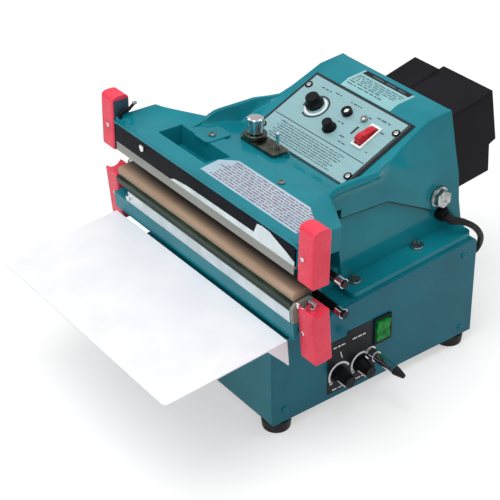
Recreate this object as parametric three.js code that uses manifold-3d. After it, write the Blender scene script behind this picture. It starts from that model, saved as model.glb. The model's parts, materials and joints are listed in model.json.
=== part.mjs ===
// A bench heat sealer with a magnet-driven upper jaw.
// Millimetres, +Z up, +X to the operator's right, +Y to the back.
// The origin is at floor level under the middle of the machine's outline.
import * as THREE from "three";
import { mergeVertices } from "three/addons/utils/BufferGeometryUtils.js";
import Module from "manifold-3d";

const wasm = await Module();
wasm.setup();

// Clearances and common sizes
const seat = 0.3; // gap between pieces that rest on each other
const slide = 0.4; // gap between pieces that move in each other
const overrun = 2; // how far a cut runs past the surface that it opens
const mergeDistance = 0.0001;
const stationGap = 1; // least distance between two cross-sections of the arm

// Angles
const deckTilt = THREE.MathUtils.degToRad(4); // the top of the base slopes down to the operator
const openAngle = THREE.MathUtils.degToRad(6); // how far the arm stands open at rest

// Base
const baseWidth = 262;
const baseDepth = 289;
const baseFrontHeight = 107;
const baseSheet = 2;
const baseCornerRadius = 8;
const sidePanelSheet = 2;
const bottomSheet = 2.5;
const footHeight = 14;
const footTopRadius = 17;
const footBottomRadius = 15.5;
const footRecessRadius = 6;
const footRecessDepth = 5;
const footSideInset = 15;
const footFrontInset = 16;
const footRearInset = 20;
const deckOpeningWidth = 90;
const deckOpeningFront = 140;
const deckOpeningRear = 262;

// Right side panel
const mainsY = 150.5;
const mainsZ = 63.4;
const mainsBezelWidth = 25.6;
const mainsBezelHeight = 34.5;
const mainsBezelDepth = 2.5;
const mainsFrame = 2.6;
const mainsBodyDepth = 22;
const dialFrontY = 92;
const dialRearY = 121;
const dialZ = 27.5;
const dialKnobRadius = 9.5;
const dialKnobTipRadius = 8;
const dialKnobLength = 19;
const dialShaftRadius = 3;
const potRadius = 8.5;
const potDepth = 12;
const potNutRadius = 5.2;
const potNutDepth = 2.4;
const jackY = 133;
const jackZ = 40;
const jackNutRadius = 7.8;
const jackNutDepth = 3;
const jackBushRadius = 5.8;
const jackBodyDepth = 16;
const plugCollarRadius = 6.6;
const plugCollarLength = 10;
const plugBodyRadius = 5.4;
const plugBodyLength = 31;
const plugRingRadius = 5.9;
const plugRingLength = 4;
const plugBootLength = 13;
const plugBootTipRadius = 2.6;

// Lower jaw, measured in the sloping frame of the deck
const jawHalf = 166.5;
const beamFront = 3;
const beamDepth = 39;
const beamBottom = 27;
const beamTop = 47;
const beamWall = 5;
const railHalf = 161;
const railLeftCut = 26;
const railDepth = 30;
const railTop = 62;
const insulatorInset = 2;
const insulatorTop = 70;
const barDepth = 26;
const barTop = 80;
const barCrown = 5;
const barInset = 6;

// Cloth roller rods
const rodRadius = 5;
const rodHalf = 196.5;
const rodEndLength = 12;
const rodEndRadius = 4.2;
const lowerRodV = 46;
const lowerRodW = 55;
const upperRodV = 46;
const upperRodW = 69.1;
const earThickness = 6;
const earRadius = 8;
const earInset = 12;

// Red end caps
const capWidth = 24;
const capDepth = 23;
const capChamfer = 3;
const lowerCapFront = 9;
const lowerCapBottom = 5;
const lowerCapTop = 68;
const capNotchRadius = 11;
const capNotchDepth = 5;
const upperCapFront = 7.5;
const upperCapBottom = 73;
const upperCapTop = 138;
const capCrownRadius = 9;

// Work tray
const trayHalf = 160;
const trayLength = 148;
const trayTop = 26;
const traySheet = 1.6;
const trayCornerRadius = 6;
const trayFlangeBottom = -6;
const trayWebLength = 24;

// Frame casting on the deck
const flangeHalf = 127.5;
const flangeFront = 112;
const flangeRear = 285;
const flangeThickness = 8;
const flangeCorner = 8;
const cheekOuter = 96.5;
const cheekFoot = 100;
const cheekWall = 8;
const cheekFront = 118.8;
const cheekTop = 88;
const cheekShoulder = 12;
const cheekRearTop = 76;
const cheekGap = 1.5;
const frameWall = 6;
const frontWallTop = 72;
const rearWallTop = 34;
const platformHalf = 96;
const platformTop = 24;
const bossRadius = 15;
const bossProud = 3;

// Pivot of the arm
const pivotV = 256.4;
const pivotW = 56.2;
const pivotRadius = 6;
const boltFlats = 19;
const boltHeadHeight = 7.5;
const boltShankLength = 10;
const boltShankRadius = 3.8;
const washerRadius = 12.5;
const washerThickness = 2.2;

// Arm casting, measured in the deck's frame with the jaws closed
const armWall = 5;
const barFaceV = 10.5;
const crossbarTop = 108;
const crossbarBottom = 87;
const crossbarLip = 2.4;
const wingRearV = 63;
const wingRootX = 105;
const wingRootV = 98;
const wingRimTop = 115.5;
const wingDish = 27;
const wingFrontRun = 9.5;
const wingFrontRise = 6;
const wingEdge = 1.2;
const neckHalf = 106;
const neckWaistHalf = 96;
const neckRearV = 189;
const rimFrontV = 84;
const rimFullV = 112;
const rimBendV = 160;
const rimTop = 120.5;
const rimWidth = 10;
const neckRoll = 6;
const housingRoll = 3;
const creaseHalf = 110;
const creaseBendV = 150;
const creaseRearHalf = 103;
const creaseDrop = 8.5;
const creasePivotW = 87.5;
const creaseRearW = 72;
const creaseFall = 14;
const basinFrontV = 78;
const basinMidV = 116;
const basinMidW = 104;
const panelFootV = 137.8;
const panelFootW = 96.4;
const panelHeadV = 229.9;
const panelHeadW = 140.1;
const housingHalf = 90;
const housingEdge = 0.6;
const housingFrontV = 243.4;
const housingRearV = 276.4;
const housingRearW = 150.1;
const housingHeelV = 289;
const housingHeelW = 41;
const skirtOuter = 103.5;
const skirtWall = 3;
const skirtTop = 80;
const skirtFrontV = 116.4;
const skirtFrontW = 76.4;
const skirtKneeV = 181.3;
const skirtKneeW = 74.9;
const skirtSlopeV = 252.9;
const skirtSlopeW = 39.7;
const skirtHeelV = 295.8;
const skirtHeelW = 9.6;
const pocketLeft = 118;
const pocketDeepRight = 68;
const pocketRight = 24;
const pocketFrontV = 36;
const pocketRearV = 67;
const pocketDepth = 24;
const pocketWall = 3;

// Upper jaw
const stripTop = 107.5;
const stripBottom = 86.8;
const stripThickness = 1.8;
const stripInset = 4.5;
const lipTop = 86.3;
const lipBottom = 82.3;
const lipDepth = 14;

// Instrument panel and its controls, measured across and up the slope
const panelHalf = 80;
const panelLength = 102;
const panelSheet = 1.5;
const panelCorner = 2;
const panelHoleDepth = 15;
const timerX = -43;
const timerU = 66.5;
const timerKnobRadius = 11;
const timerKnobTop = 9;
const timerKnobHeight = 13;
const fuseX = 1;
const fuseU = 50;
const fuseCapRadius = 6.8;
const fuseCapHeight = 9;
const fuseBodyRadius = 5.6;
const fuseBodyDepth = 16;
const lampX = 2;
const lampU = 77;
const lampRadius = 6;
const lampHeight = 4.5;
const sealLampX = 27.6;
const sealLampU = 79.5;
const sealLampRadius = 3.6;
const sealLampHeight = 3;
const lampBodyDepth = 12;
const powerX = 49.5;
const powerU = 63;
const powerBezelWidth = 15;
const powerBezelLength = 34;
const powerBezelDepth = 2;
const powerFrame = 1.8;
const powerBodyDepth = 15;
const rockerRise = 3.2;
const rockerClearance = 1;

// Pressure adjuster on the arm
const adjusterPlateLeft = -58;
const adjusterPlateRight = 3;
const adjusterPlateFrontV = 103;
const adjusterPlateDepth = 23;
const adjusterPlateThickness = 4;
const adjusterPlateTop = 110;
const adjusterX = -44.7;
const adjusterV = 114.9;
const adjusterBaseRadius = 13.5;
const adjusterBaseHeight = 5;
const adjusterKnobRadius = 9.5;
const adjusterKnobHeight = 18;
const adjusterKnobBevel = 0.8;
const adjusterFluteRadius = 1.6;
const adjusterSpindleRadius = 3;
const pinX = -8.1;
const pinV = 117.9;
const pinRadius = 2.3;
const pinHeight = 19;

// Rear cover, behind the housing
const coverHalf = 61.5;
const coverWall = 2;
const coverFrontTopV = 281.4;
const coverFrontTopW = 113.4;
const coverTopRearV = 371.9;
const coverTopRearW = 135;
const coverRearV = 385.4;
const coverRearW = 70.3;
const coverStepV = 375.8;
const coverStepW = 65.6;
const coverHeelV = 379;
const coverHeelW = 30;
const coverFrontLowV = 293;
const coverFrontLowW = 17;
const coverSplitX = -23;
const coverShortfall = 10;
const coverBevel = 2;

// Gland, lead and grommet on the right
const glandV = 261.4;
const glandW = 30.5;
const glandRadius = 8;
const glandLength = 12;
const glandSwing = 4;
const leadSteps = 36;
const leadSides = 10;
const leadRadius = 3.6;
const grommetRadius = 7.5;
const grommetDepth = 6;
const grommetInset = 19;
const leadBow = 15;
const grommetZ = 92;
const grommetWall = 2;

// Drive magnet and its rod
const magnetY = 178;
const magnetWidth = 60;
const magnetDepth = 52;
const magnetHeight = 62;
const magnetPlate = 5;
const coilRadius = 21;
const coilHeight = 48;
const plungerRadius = 9;
const plungerLength = 43;
const rodShankRadius = 3.5;
const rodHeadRadius = 7;
const rodHeadHeight = 6;
const rodHeadGap = 0.9;
const yokeHalf = 84;
const yokeDepth = 16;
const yokeBottom = 82;
const yokeTop = 91;
const yokeSlot = 3.2;
const springRadius = 9;
const springWire = 1.1;
const springTurns = 7;
const springHeight = 34;
const collarRadius = 13;
const collarThickness = 4;

// Transformer
const coreWidth = 66;
const coreDepth = 40;
const coreHeight = 55;
const coreWindingWidth = 44;
const coreWindingDepth = 60;
const coreWindingHeight = 36;
const coreWindingRound = 8;
const coreTab = 9;
const coreTabThickness = 2.5;
const transformerRise = 26;
const transformerX = 16.5;

// Timer board
const boardThickness = 1.6;
const boardStandoff = 8;
const boardPostRadius = 3;
const boardPostInset = 6;
const timerBoardWidth = 100;
const timerBoardDepth = 70;
const timerBoardX = 62;
const timerBoardY = 62;

// Shares of the pieces that they belong to
const knobSkirtShare = 0.3;
const knobShoulderShare = 0.45;
const knobTopShare = 0.85;
const bootWaistShare = 0.75;
const glandNutShare = 0.6;
const glandTipShare = 0.75;
const lampStemShare = 0.7;
const lampRimShare = 0.5;
const lampLensShare = 0.75;
const fuseNeckShare = 0.5;

// Shares of a run and of a rise along the arm: [run, rise]
const rimClimbShare = [
  [0, 0.04],
  [0.14, 0.24],
  [0.29, 0.52],
  [0.43, 0.72],
  [0.71, 0.94],
  [1, 1],
];
const rimBendShare = [
  [0, 0],
  [0.08, 0.08],
  [0.3, 0.35],
  [0.52, 0.6],
  [0.76, 0.82],
  [1, 1],
];
const housingTaperShare = [
  [0.27, 0.55],
  [0.66, 0.82],
  [1, 1],
];
const creaseBendShare = [
  [0, 0],
  [0.31, 0.14],
  [0.56, 0.57],
  [0.77, 0.86],
  [1, 1],
];
// Shares of the roll over a rim: [outwards, down], and of the fillet inside it: [inwards, up]
const rollShare = [
  [0.8, 1.08],
  [0.7, 0.5],
  [0.42, 0.13],
];
const filletShare = [
  [0.2, 0.9],
  [0.32, 0.4],
  [0.52, 0.12],
  [1, 0],
];
// Shares along a wing: [run, rise, trim], and across its dish: [ahead of the rear edge, rise]
const wingRiseShare = [
  [0, 0, 0],
  [0.57, 0, 0],
  [0.73, 0.13, 0],
  [0.86, 0.4, 0],
  [0.94, 0.8, 0],
  [0.98, 1, 0],
  [1, 1, 1],
];
const wingRimShare = [
  [0, 0.8],
  [0.11, 1],
  [0.26, 0.67],
  [0.55, 0.27],
  [1, 0],
];
// Shares of the way of the lead from the gland to the grommet: [back, out, down]
const leadWayShare = [
  [0.24, 0.77, 0.074],
  [0.535, 1, 0.215],
  [0.81, 0.935, 0.45],
  [0.98, 0.575, 0.7],
  [1, 0.15, 0.94],
];

// Facets round a full turn
const yokePasses = 6;
const medium = 24;
const coarse = 16;

const colours = {
  teal: 0x2a8c96,
  darkTeal: 0x2a6b7c,
  white: 0xf4f4f6,
  red: 0xe0485e,
  black: 0x222226,
  rubber: 0x2a2a2c,
  chrome: 0xd8dce0,
  steel: 0xb8bcc0,
  aluminium: 0xc8ccd0,
  cloth: 0xb49a80,
  green: 0x1aa050,
  switchRed: 0xc83038,
  panel: 0x9cc4c8,
  copper: 0xb06a38,
  board: 0x2e6a44,
  lamp: 0xf0eadc,
};

const finishes = {
  paint: { roughness: 0.4, metalness: 0.1 },
  metal: { roughness: 0.25, metalness: 0.95 },
  brushed: { roughness: 0.45, metalness: 0.85 },
  plastic: { roughness: 0.4, metalness: 0 },
  rubber: { roughness: 0.85, metalness: 0 },
};

// Geometry helpers

function bare(geometry) {
  const copy = geometry.clone();
  copy.deleteAttribute("normal");
  copy.deleteAttribute("uv");
  return mergeVertices(copy, mergeDistance);
}

function solidOf(geometry) {
  const merged = bare(geometry);
  return new wasm.Manifold(
    new wasm.Mesh({
      numProp: 3,
      vertProperties: merged.attributes.position.array,
      triVerts: new Uint32Array(merged.index.array),
    }),
  );
}

function geometryOf(solid) {
  const mesh = solid.getMesh();
  const geometry = new THREE.BufferGeometry();
  geometry.setAttribute("position", new THREE.BufferAttribute(mesh.vertProperties, mesh.numProp));
  geometry.setIndex(new THREE.BufferAttribute(mesh.triVerts, 1));
  return geometry;
}

function join(...geometries) {
  return geometryOf(geometries.map(solidOf).reduce((sum, next) => sum.add(next)));
}

function cut(geometry, ...tools) {
  return geometryOf(tools.map(solidOf).reduce((left, tool) => left.subtract(tool), solidOf(geometry)));
}

function common(first, second) {
  return geometryOf(solidOf(first).intersect(solidOf(second)));
}

// A box between two corners.
function block(x0, x1, y0, y1, z0, z1) {
  const geometry = new THREE.BoxGeometry(x1 - x0, y1 - y0, z1 - z0);
  return geometry.translate((x0 + x1) / 2, (y0 + y1) / 2, (z0 + z1) / 2);
}

function outline(points) {
  return new THREE.Shape(points.map(([a, b]) => new THREE.Vector2(a, b)));
}

// The points of a counter-clockwise outline, each edge moved inwards by its own distance or by one for all.
function inset(points, distance) {
  const count = points.length;
  const edges = points.map((point, i) => {
    const start = new THREE.Vector2(...point);
    const along = new THREE.Vector2(...points[(i + 1) % count]).sub(start).normalize();
    const shift = Array.isArray(distance) ? distance[i] : distance;
    return { start: start.add(new THREE.Vector2(-along.y, along.x).multiplyScalar(shift)), along };
  });
  return edges.map(({ start, along }, i) => {
    const before = edges[(i + count - 1) % count];
    const reach = start.clone().sub(before.start).cross(along) / before.along.cross(along);
    return before.start.clone().addScaledVector(before.along, reach).toArray();
  });
}

// A closed outline whose corners are rounded; each point is [a, b, radius].
function rounded(points) {
  const shape = new THREE.Shape();
  const count = points.length;
  points.forEach(([a, b, radius = 0], i) => {
    const corner = new THREE.Vector2(a, b);
    const before = new THREE.Vector2(...points[(i + count - 1) % count]);
    const after = new THREE.Vector2(...points[(i + 1) % count]);
    const toBefore = before.sub(corner);
    const toAfter = after.sub(corner);
    const reach = Math.min(radius, toBefore.length() / 2, toAfter.length() / 2);
    const start = corner.clone().addScaledVector(toBefore.normalize(), reach);
    const end = corner.clone().addScaledVector(toAfter.normalize(), reach);
    if (i === 0) shape.moveTo(start.x, start.y);
    else shape.lineTo(start.x, start.y);
    if (reach > 0) shape.quadraticCurveTo(corner.x, corner.y, end.x, end.y);
  });
  shape.closePath();
  return shape;
}

function rectangle(a0, a1, b0, b1, radius = 0) {
  return rounded([
    [a0, b0, radius],
    [a1, b0, radius],
    [a1, b1, radius],
    [a0, b1, radius],
  ]);
}

// A shape pushed along +Z from one height to another, with an optional rounded edge.
function extrudeZ(shape, from, to, bevel = 0, bevelSegments = 2, curveSegments = 5) {
  const geometry = new THREE.ExtrudeGeometry(shape, {
    depth: to - from - 2 * bevel,
    steps: 1,
    curveSegments,
    bevelEnabled: bevel > 0,
    bevelSize: bevel,
    bevelThickness: bevel,
    bevelOffset: -bevel,
    bevelSegments,
  });
  return geometry.translate(0, 0, from + bevel);
}

const ontoX = new THREE.Matrix4().makeBasis(
  new THREE.Vector3(0, 1, 0),
  new THREE.Vector3(0, 0, 1),
  new THREE.Vector3(1, 0, 0),
);
const ontoY = new THREE.Matrix4().makeBasis(
  new THREE.Vector3(0, 0, 1),
  new THREE.Vector3(1, 0, 0),
  new THREE.Vector3(0, 1, 0),
);

// A side profile in (y, z) pushed along X.
function extrudeX(shape, from, to, bevel = 0, bevelSegments = 2, curveSegments = 5) {
  return extrudeZ(shape, from, to, bevel, bevelSegments, curveSegments).applyMatrix4(ontoX);
}

// A solid through counter-clockwise outlines at rising heights; each section is [height, points].
function loft(sections) {
  const count = sections[0][1].length;
  const positions = sections.flatMap(([height, points]) => points.flatMap(([a, b]) => [a, b, height]));
  const faces = [];
  for (let start = 0; start < (sections.length - 1) * count; start += count) {
    for (let i = 0; i < count; i += 1) {
      const here = start + i;
      const next = start + ((i + 1) % count);
      faces.push(here, next, next + count, here, next + count, here + count);
    }
  }
  const end = ([, points]) => THREE.ShapeUtils.triangulateShape(
    points.map(([a, b]) => new THREE.Vector2(a, b)),
    [],
  );
  const last = (sections.length - 1) * count;
  end(sections[0]).forEach(([a, b, c]) => faces.push(c, b, a));
  end(sections[sections.length - 1]).forEach(([a, b, c]) => faces.push(last + a, last + b, last + c));
  const geometry = new THREE.BufferGeometry();
  geometry.setAttribute("position", new THREE.Float32BufferAttribute(positions, 3));
  geometry.setIndex(faces);
  return geometry;
}

// A profile of [radius, height] turned about Z; it starts and ends on the axis or closes on itself.
function turned(profile, segments = medium) {
  const points = profile.map(([radius, height]) => new THREE.Vector2(radius, height));
  return new THREE.LatheGeometry(points, segments).rotateX(Math.PI / 2);
}

function rod(radius, from, to, segments = medium) {
  return turned(
    [
      [0, from],
      [radius, from],
      [radius, to],
      [0, to],
    ],
    segments,
  );
}

function ring(inner, outer, from, to, segments = medium) {
  return turned(
    [
      [inner, from],
      [outer, from],
      [outer, to],
      [inner, to],
      [inner, from],
    ],
    segments,
  );
}

// Turns a piece made about Z so that it lies along X or Y, and moves it.
function alongX(geometry, x, y, z) {
  return geometry.applyMatrix4(ontoX).translate(x, y, z);
}

function alongY(geometry, x, y, z) {
  return geometry.applyMatrix4(ontoY).translate(x, y, z);
}

function mirrorX(geometry) {
  const copy = geometry.index ? geometry.toNonIndexed() : geometry.clone();
  copy.scale(-1, 1, 1);
  const position = copy.attributes.position;
  for (let i = 0; i < position.count; i += 3) {
    const second = new THREE.Vector3().fromBufferAttribute(position, i + 1);
    const third = new THREE.Vector3().fromBufferAttribute(position, i + 2);
    position.setXYZ(i + 1, ...third);
    position.setXYZ(i + 2, ...second);
  }
  return copy;
}

function add(parent, name, geometry, colour, finish) {
  const faceted = geometry.index ? geometry.toNonIndexed() : geometry;
  faceted.computeVertexNormals();
  const material = new THREE.MeshStandardMaterial({ color: colours[colour], ...finishes[finish] });
  const mesh = new THREE.Mesh(faceted, material);
  mesh.name = name;
  parent.add(mesh);
  return mesh;
}

// Heights and places that follow from the driving sizes
const baseHalf = baseWidth / 2;
const grommetX = baseHalf - grommetInset;
const deckSlope = Math.tan(deckTilt);
const deckHeightAt = (y) => baseFrontHeight + y * deckSlope;
const panelTilt = Math.atan2(panelHeadW - panelFootW, panelHeadV - panelFootV);

// A point of the deck's frame, given in the frame of the base.
function deckToBase(v, w) {
  return [
    v * Math.cos(deckTilt) - w * Math.sin(deckTilt),
    baseFrontHeight + v * Math.sin(deckTilt) + w * Math.cos(deckTilt),
  ];
}

// Base

function baseProfile(inset) {
  return rounded([
    [inset, inset],
    [baseDepth - inset, inset],
    [baseDepth - inset, deckHeightAt(baseDepth) - inset, baseCornerRadius - inset],
    [inset, baseFrontHeight - inset, 0],
  ]);
}

function baseShell() {
  const half = baseHalf - sidePanelSheet - seat;
  const outer = extrudeX(baseProfile(0), -half, half);
  const inner = extrudeX(baseProfile(baseSheet), -half - overrun, half + overrun);
  const floor = block(
    -half - overrun,
    half + overrun,
    baseSheet,
    baseDepth - baseSheet,
    -overrun,
    baseSheet + overrun,
  );
  const opening = block(
    -deckOpeningWidth / 2,
    deckOpeningWidth / 2,
    deckOpeningFront,
    deckOpeningRear,
    baseFrontHeight - overrun,
    deckHeightAt(baseDepth) + overrun,
  );
  const leadHole = alongY(
    rod(leadRadius + grommetWall, -overrun, baseSheet + overrun, coarse),
    grommetX,
    baseDepth - baseSheet,
    grommetZ,
  );
  return cut(outer, inner, floor, opening, leadHole);
}

function sidePanel(side) {
  const inner = baseHalf - sidePanelSheet;
  const sheet = extrudeX(baseProfile(0), inner, baseHalf);
  if (side < 0) return mirrorX(sheet);
  const from = inner - overrun;
  const to = baseHalf + overrun;
  const bezelHole = block(
    from,
    to,
    mainsY - mainsBezelWidth / 2 + mainsFrame,
    mainsY + mainsBezelWidth / 2 - mainsFrame,
    mainsZ - mainsBezelHeight / 2 + mainsFrame,
    mainsZ + mainsBezelHeight / 2 - mainsFrame,
  );
  const holes = [dialFrontY, dialRearY].map((y) => alongX(rod(potNutRadius, from, to, coarse), 0, y, dialZ));
  const jackHole = alongX(rod(jackBushRadius + seat, from, to, coarse), 0, jackY, jackZ);
  return cut(sheet, bezelHole, ...holes, jackHole);
}

function bottomPlate() {
  const half = baseHalf - sidePanelSheet - seat;
  const front = baseSheet + seat;
  const rear = baseDepth - baseSheet - seat;
  const plate = block(-half, half, front, rear, 0, bottomSheet);
  const feetHoles = footPlaces().map(([x, y]) =>
    rod(footRecessRadius / 2, -overrun, bottomSheet + overrun, coarse).translate(x, y, 0),
  );
  const reachX = timerBoardWidth / 2 - boardPostInset;
  const reachY = timerBoardDepth / 2 - boardPostInset;
  const posts = [
    [-reachX, -reachY],
    [reachX, -reachY],
    [-reachX, reachY],
    [reachX, reachY],
  ].map(([x, y]) =>
    rod(boardPostRadius, bottomSheet / 2, bottomSheet + boardStandoff, coarse).translate(
      timerBoardX + x,
      timerBoardY + y,
      0,
    ),
  );
  return cut(join(plate, ...posts), ...feetHoles);
}

function footPlaces() {
  const x = baseHalf - footSideInset;
  const front = footFrontInset;
  const rear = baseDepth - footRearInset;
  return [
    [-x, front],
    [x, front],
    [-x, rear],
    [x, rear],
  ];
}

function foot() {
  return turned(
    [
      [0, -footHeight + footRecessDepth],
      [footRecessRadius, -footHeight + footRecessDepth],
      [footRecessRadius, -footHeight],
      [footBottomRadius, -footHeight],
      [footTopRadius, -seat],
      [0, -seat],
    ],
    medium,
  );
}

// A rocker switch made about the origin: the bezel faces +Z, the long side lies along Y.
function rockerBezel(width, length, depth, wall, bodyDepth) {
  const rim = rectangle(-width / 2, width / 2, -length / 2, length / 2, wall);
  const flange = extrudeZ(rim, 0, depth, wall / 4, 1);
  const body = block(
    -width / 2 + wall + seat,
    width / 2 - wall - seat,
    -length / 2 + wall + seat,
    length / 2 - wall - seat,
    -bodyDepth,
    depth / 2,
  );
  const window = block(
    -width / 2 + 2 * wall,
    width / 2 - 2 * wall,
    -length / 2 + 2 * wall,
    length / 2 - 2 * wall,
    -bodyDepth / 2,
    depth + overrun,
  );
  return cut(join(flange, body), window);
}

// The rocker itself, a shallow V in side view that tips about X.
function rockerKey(width, length, depth, wall, bodyDepth) {
  const half = length / 2 - 2 * wall - rockerClearance;
  const side = outline([
    [-half, depth + rockerRise / 4],
    [-half, -depth / 2],
    [0, -bodyDepth / 2 + rockerClearance],
    [half, -depth / 2],
    [half, depth + rockerRise],
    [0, depth + rockerRise / 4],
  ]);
  const window = width / 2 - 2 * wall;
  const body = extrudeX(side, -window + rockerClearance, window - rockerClearance);
  const pin = alongX(rod(wall / 2, -window + seat, window - seat, coarse), 0, 0, 0);
  return join(body, pin);
}

function potentiometer(outside, inside) {
  const body = ring(dialShaftRadius + slide, potRadius, -inside - potDepth, -inside - seat, coarse);
  const bush = ring(dialShaftRadius + slide, potNutRadius - seat, -inside - seat - seat, outside, coarse);
  return join(body, bush);
}

function shaftedKnob(radius, tipRadius, height, reach, segments = medium) {
  return turned(
    [
      [0, -reach],
      [dialShaftRadius, -reach],
      [dialShaftRadius, potNutDepth],
      [potNutRadius + slide, potNutDepth],
      [potNutRadius + slide, seat],
      [radius, seat],
      [radius, height * knobSkirtShare],
      [tipRadius, height * knobShoulderShare],
      [tipRadius * knobTopShare, height],
      [0, height],
    ],
    segments,
  );
}
function jackSocket() {
  return turned(
    [
      [0, -jackBodyDepth],
      [jackNutRadius, -jackBodyDepth],
      [jackNutRadius, -sidePanelSheet - seat],
      [jackBushRadius, -sidePanelSheet - seat],
      [jackBushRadius, seat],
      [jackNutRadius, seat],
      [jackNutRadius, jackNutDepth],
      [0, jackNutDepth],
    ],
    medium,
  );
}

function plugCollar() {
  const knurl = 18;
  const grip = new THREE.Shape();
  for (let i = 0; i < 2 * knurl; i += 1) {
    const radius = i % 2 ? plugCollarRadius : plugCollarRadius - seat;
    const angle = (i * Math.PI) / knurl;
    const place = [radius * Math.cos(angle), radius * Math.sin(angle)];
    if (i === 0) grip.moveTo(...place);
    else grip.lineTo(...place);
  }
  grip.closePath();
  return extrudeZ(grip, jackNutDepth + seat, jackNutDepth + plugCollarLength);
}

function plugBody() {
  const start = jackNutDepth + plugCollarLength + seat;
  const ringStart = start + plugBodyLength - plugRingLength;
  return turned([
    [0, start],
    [plugBodyRadius, start],
    [plugBodyRadius, ringStart],
    [plugRingRadius, ringStart],
    [plugRingRadius, start + plugBodyLength],
    [0, start + plugBodyLength],
  ]);
}

function plugBoot() {
  const start = jackNutDepth + plugCollarLength + plugBodyLength + 2 * seat;
  return turned([
    [0, start],
    [plugBodyRadius, start],
    [plugBodyRadius * bootWaistShare, start + plugBootLength / 2],
    [plugBootTipRadius, start + plugBootLength],
    [0, start + plugBootLength],
  ]);
}
// The core stands on its tabs, with the winding bulging out on both sides.
function transformer() {
  const core = block(-coreWidth / 2, coreWidth / 2, -coreDepth / 2, coreDepth / 2, seat, seat + coreHeight);
  const middle = seat + coreHeight / 2;
  const winding = extrudeZ(
    rectangle(
      -coreWindingWidth / 2,
      coreWindingWidth / 2,
      -coreWindingDepth / 2,
      coreWindingDepth / 2,
      coreWindingRound,
    ),
    middle - coreWindingHeight / 2,
    middle + coreWindingHeight / 2,
  );
  const tabHalf = coreWidth / 2 + coreTab;
  const tabs = block(-tabHalf, tabHalf, -coreDepth / 2, coreDepth / 2, seat, seat + coreTabThickness);
  return join(core, winding, tabs);
}

// Drive

// A point of the arm's frame at a hinge angle, given in the frame of the base.
function armToBase(v, w, angle) {
  const a = v - pivotV;
  const b = w - pivotW;
  return deckToBase(
    pivotV + a * Math.cos(angle) - b * Math.sin(angle),
    pivotW + a * Math.sin(angle) + b * Math.cos(angle),
  );
}

// The arm's yoke stands over the magnet half way through the arm's swing.
function yokeV() {
  const swing = openAngle / 2;
  let v = magnetY;
  for (let pass = 0; pass < yokePasses; pass += 1) v += magnetY - armToBase(v, yokeTop, -swing)[0];
  return v;
}

function magnetFrame() {
  const z0 = bottomSheet + seat;
  const outer = block(
    -magnetWidth / 2,
    magnetWidth / 2,
    -magnetDepth / 2,
    magnetDepth / 2,
    z0,
    z0 + magnetHeight,
  );
  const inner = block(
    -magnetWidth / 2 + magnetPlate,
    magnetWidth / 2 - magnetPlate,
    -magnetDepth / 2 - overrun,
    magnetDepth / 2 + overrun,
    z0 + magnetPlate,
    z0 + magnetHeight - magnetPlate,
  );
  const bore = rod(plungerRadius + slide, z0 + magnetHeight / 2, z0 + magnetHeight + overrun, coarse);
  return cut(outer, inner, bore);
}

function magnetCoil() {
  const z0 = bottomSheet + seat + magnetPlate + seat;
  const top = z0 + coilHeight;
  const rim = magnetPlate / 2;
  return turned(
    [
      [plungerRadius + slide, z0],
      [coilRadius, z0],
      [coilRadius, z0 + rim],
      [coilRadius - rim, z0 + rim],
      [coilRadius - rim, top - rim],
      [coilRadius, top - rim],
      [coilRadius, top],
      [plungerRadius + slide, top],
      [plungerRadius + slide, z0],
    ],
    medium,
  );
}

// Heights above the bottom of the base
const magnetTop = bottomSheet + seat + magnetHeight;
const springBottom = magnetTop + seat;
const springTop = springBottom + springHeight;
const collarBottom = springTop + seat;
const rodHeadBottom = armToBase(yokeV(), yokeTop, -openAngle)[1] + rodHeadGap;

function plunger() {
  const top = magnetTop - magnetPlate;
  return turned([
    [0, top - plungerLength],
    [plungerRadius, top - plungerLength],
    [plungerRadius, top],
    [rodShankRadius, top],
    [rodShankRadius, collarBottom],
    [collarRadius, collarBottom],
    [collarRadius, collarBottom + collarThickness],
    [rodShankRadius, collarBottom + collarThickness],
    [rodShankRadius, rodHeadBottom],
    [rodHeadRadius, rodHeadBottom],
    [rodHeadRadius, rodHeadBottom + rodHeadHeight],
    [0, rodHeadBottom + rodHeadHeight],
  ]);
}

// One unbroken wire wound round the pull rod, with a flat half turn at each end.
function returnSpring() {
  const sides = 5;
  const stepsPerTurn = 10;
  const steps = springTurns * stepsPerTurn;
  const rise = springHeight - 2 * springWire;
  const mean = springRadius;
  const vertices = [];
  const faces = [];
  for (let i = 0; i <= steps; i += 1) {
    const share = THREE.MathUtils.clamp((i - stepsPerTurn / 2) / (steps - stepsPerTurn), 0, 1);
    const angle = (2 * Math.PI * i) / stepsPerTurn;
    const height = springBottom + springWire + rise * share;
    for (let k = 0; k < sides; k += 1) {
      const turn = (2 * Math.PI * k) / sides;
      const radius = mean + springWire * Math.cos(turn);
      vertices.push(radius * Math.cos(angle), radius * Math.sin(angle), height + springWire * Math.sin(turn));
    }
  }
  for (let i = 0; i < steps; i += 1) {
    for (let k = 0; k < sides; k += 1) {
      const a = i * sides + k;
      const b = i * sides + ((k + 1) % sides);
      faces.push(a, a + sides, b, b, a + sides, b + sides);
    }
  }
  for (let k = 1; k < sides - 1; k += 1) {
    const last = steps * sides;
    faces.push(0, k, k + 1);
    faces.push(last, last + k + 1, last + k);
  }
  const geometry = new THREE.BufferGeometry();
  geometry.setAttribute("position", new THREE.Float32BufferAttribute(vertices, 3));
  geometry.setIndex(faces);
  return geometry;
}

function timerBoard() {
  const z0 = bottomSheet + boardStandoff + seat;
  return block(
    timerBoardX - timerBoardWidth / 2,
    timerBoardX + timerBoardWidth / 2,
    timerBoardY - timerBoardDepth / 2,
    timerBoardY + timerBoardDepth / 2,
    z0,
    z0 + boardThickness,
  );
}

// Frame casting and lower jaw

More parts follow.
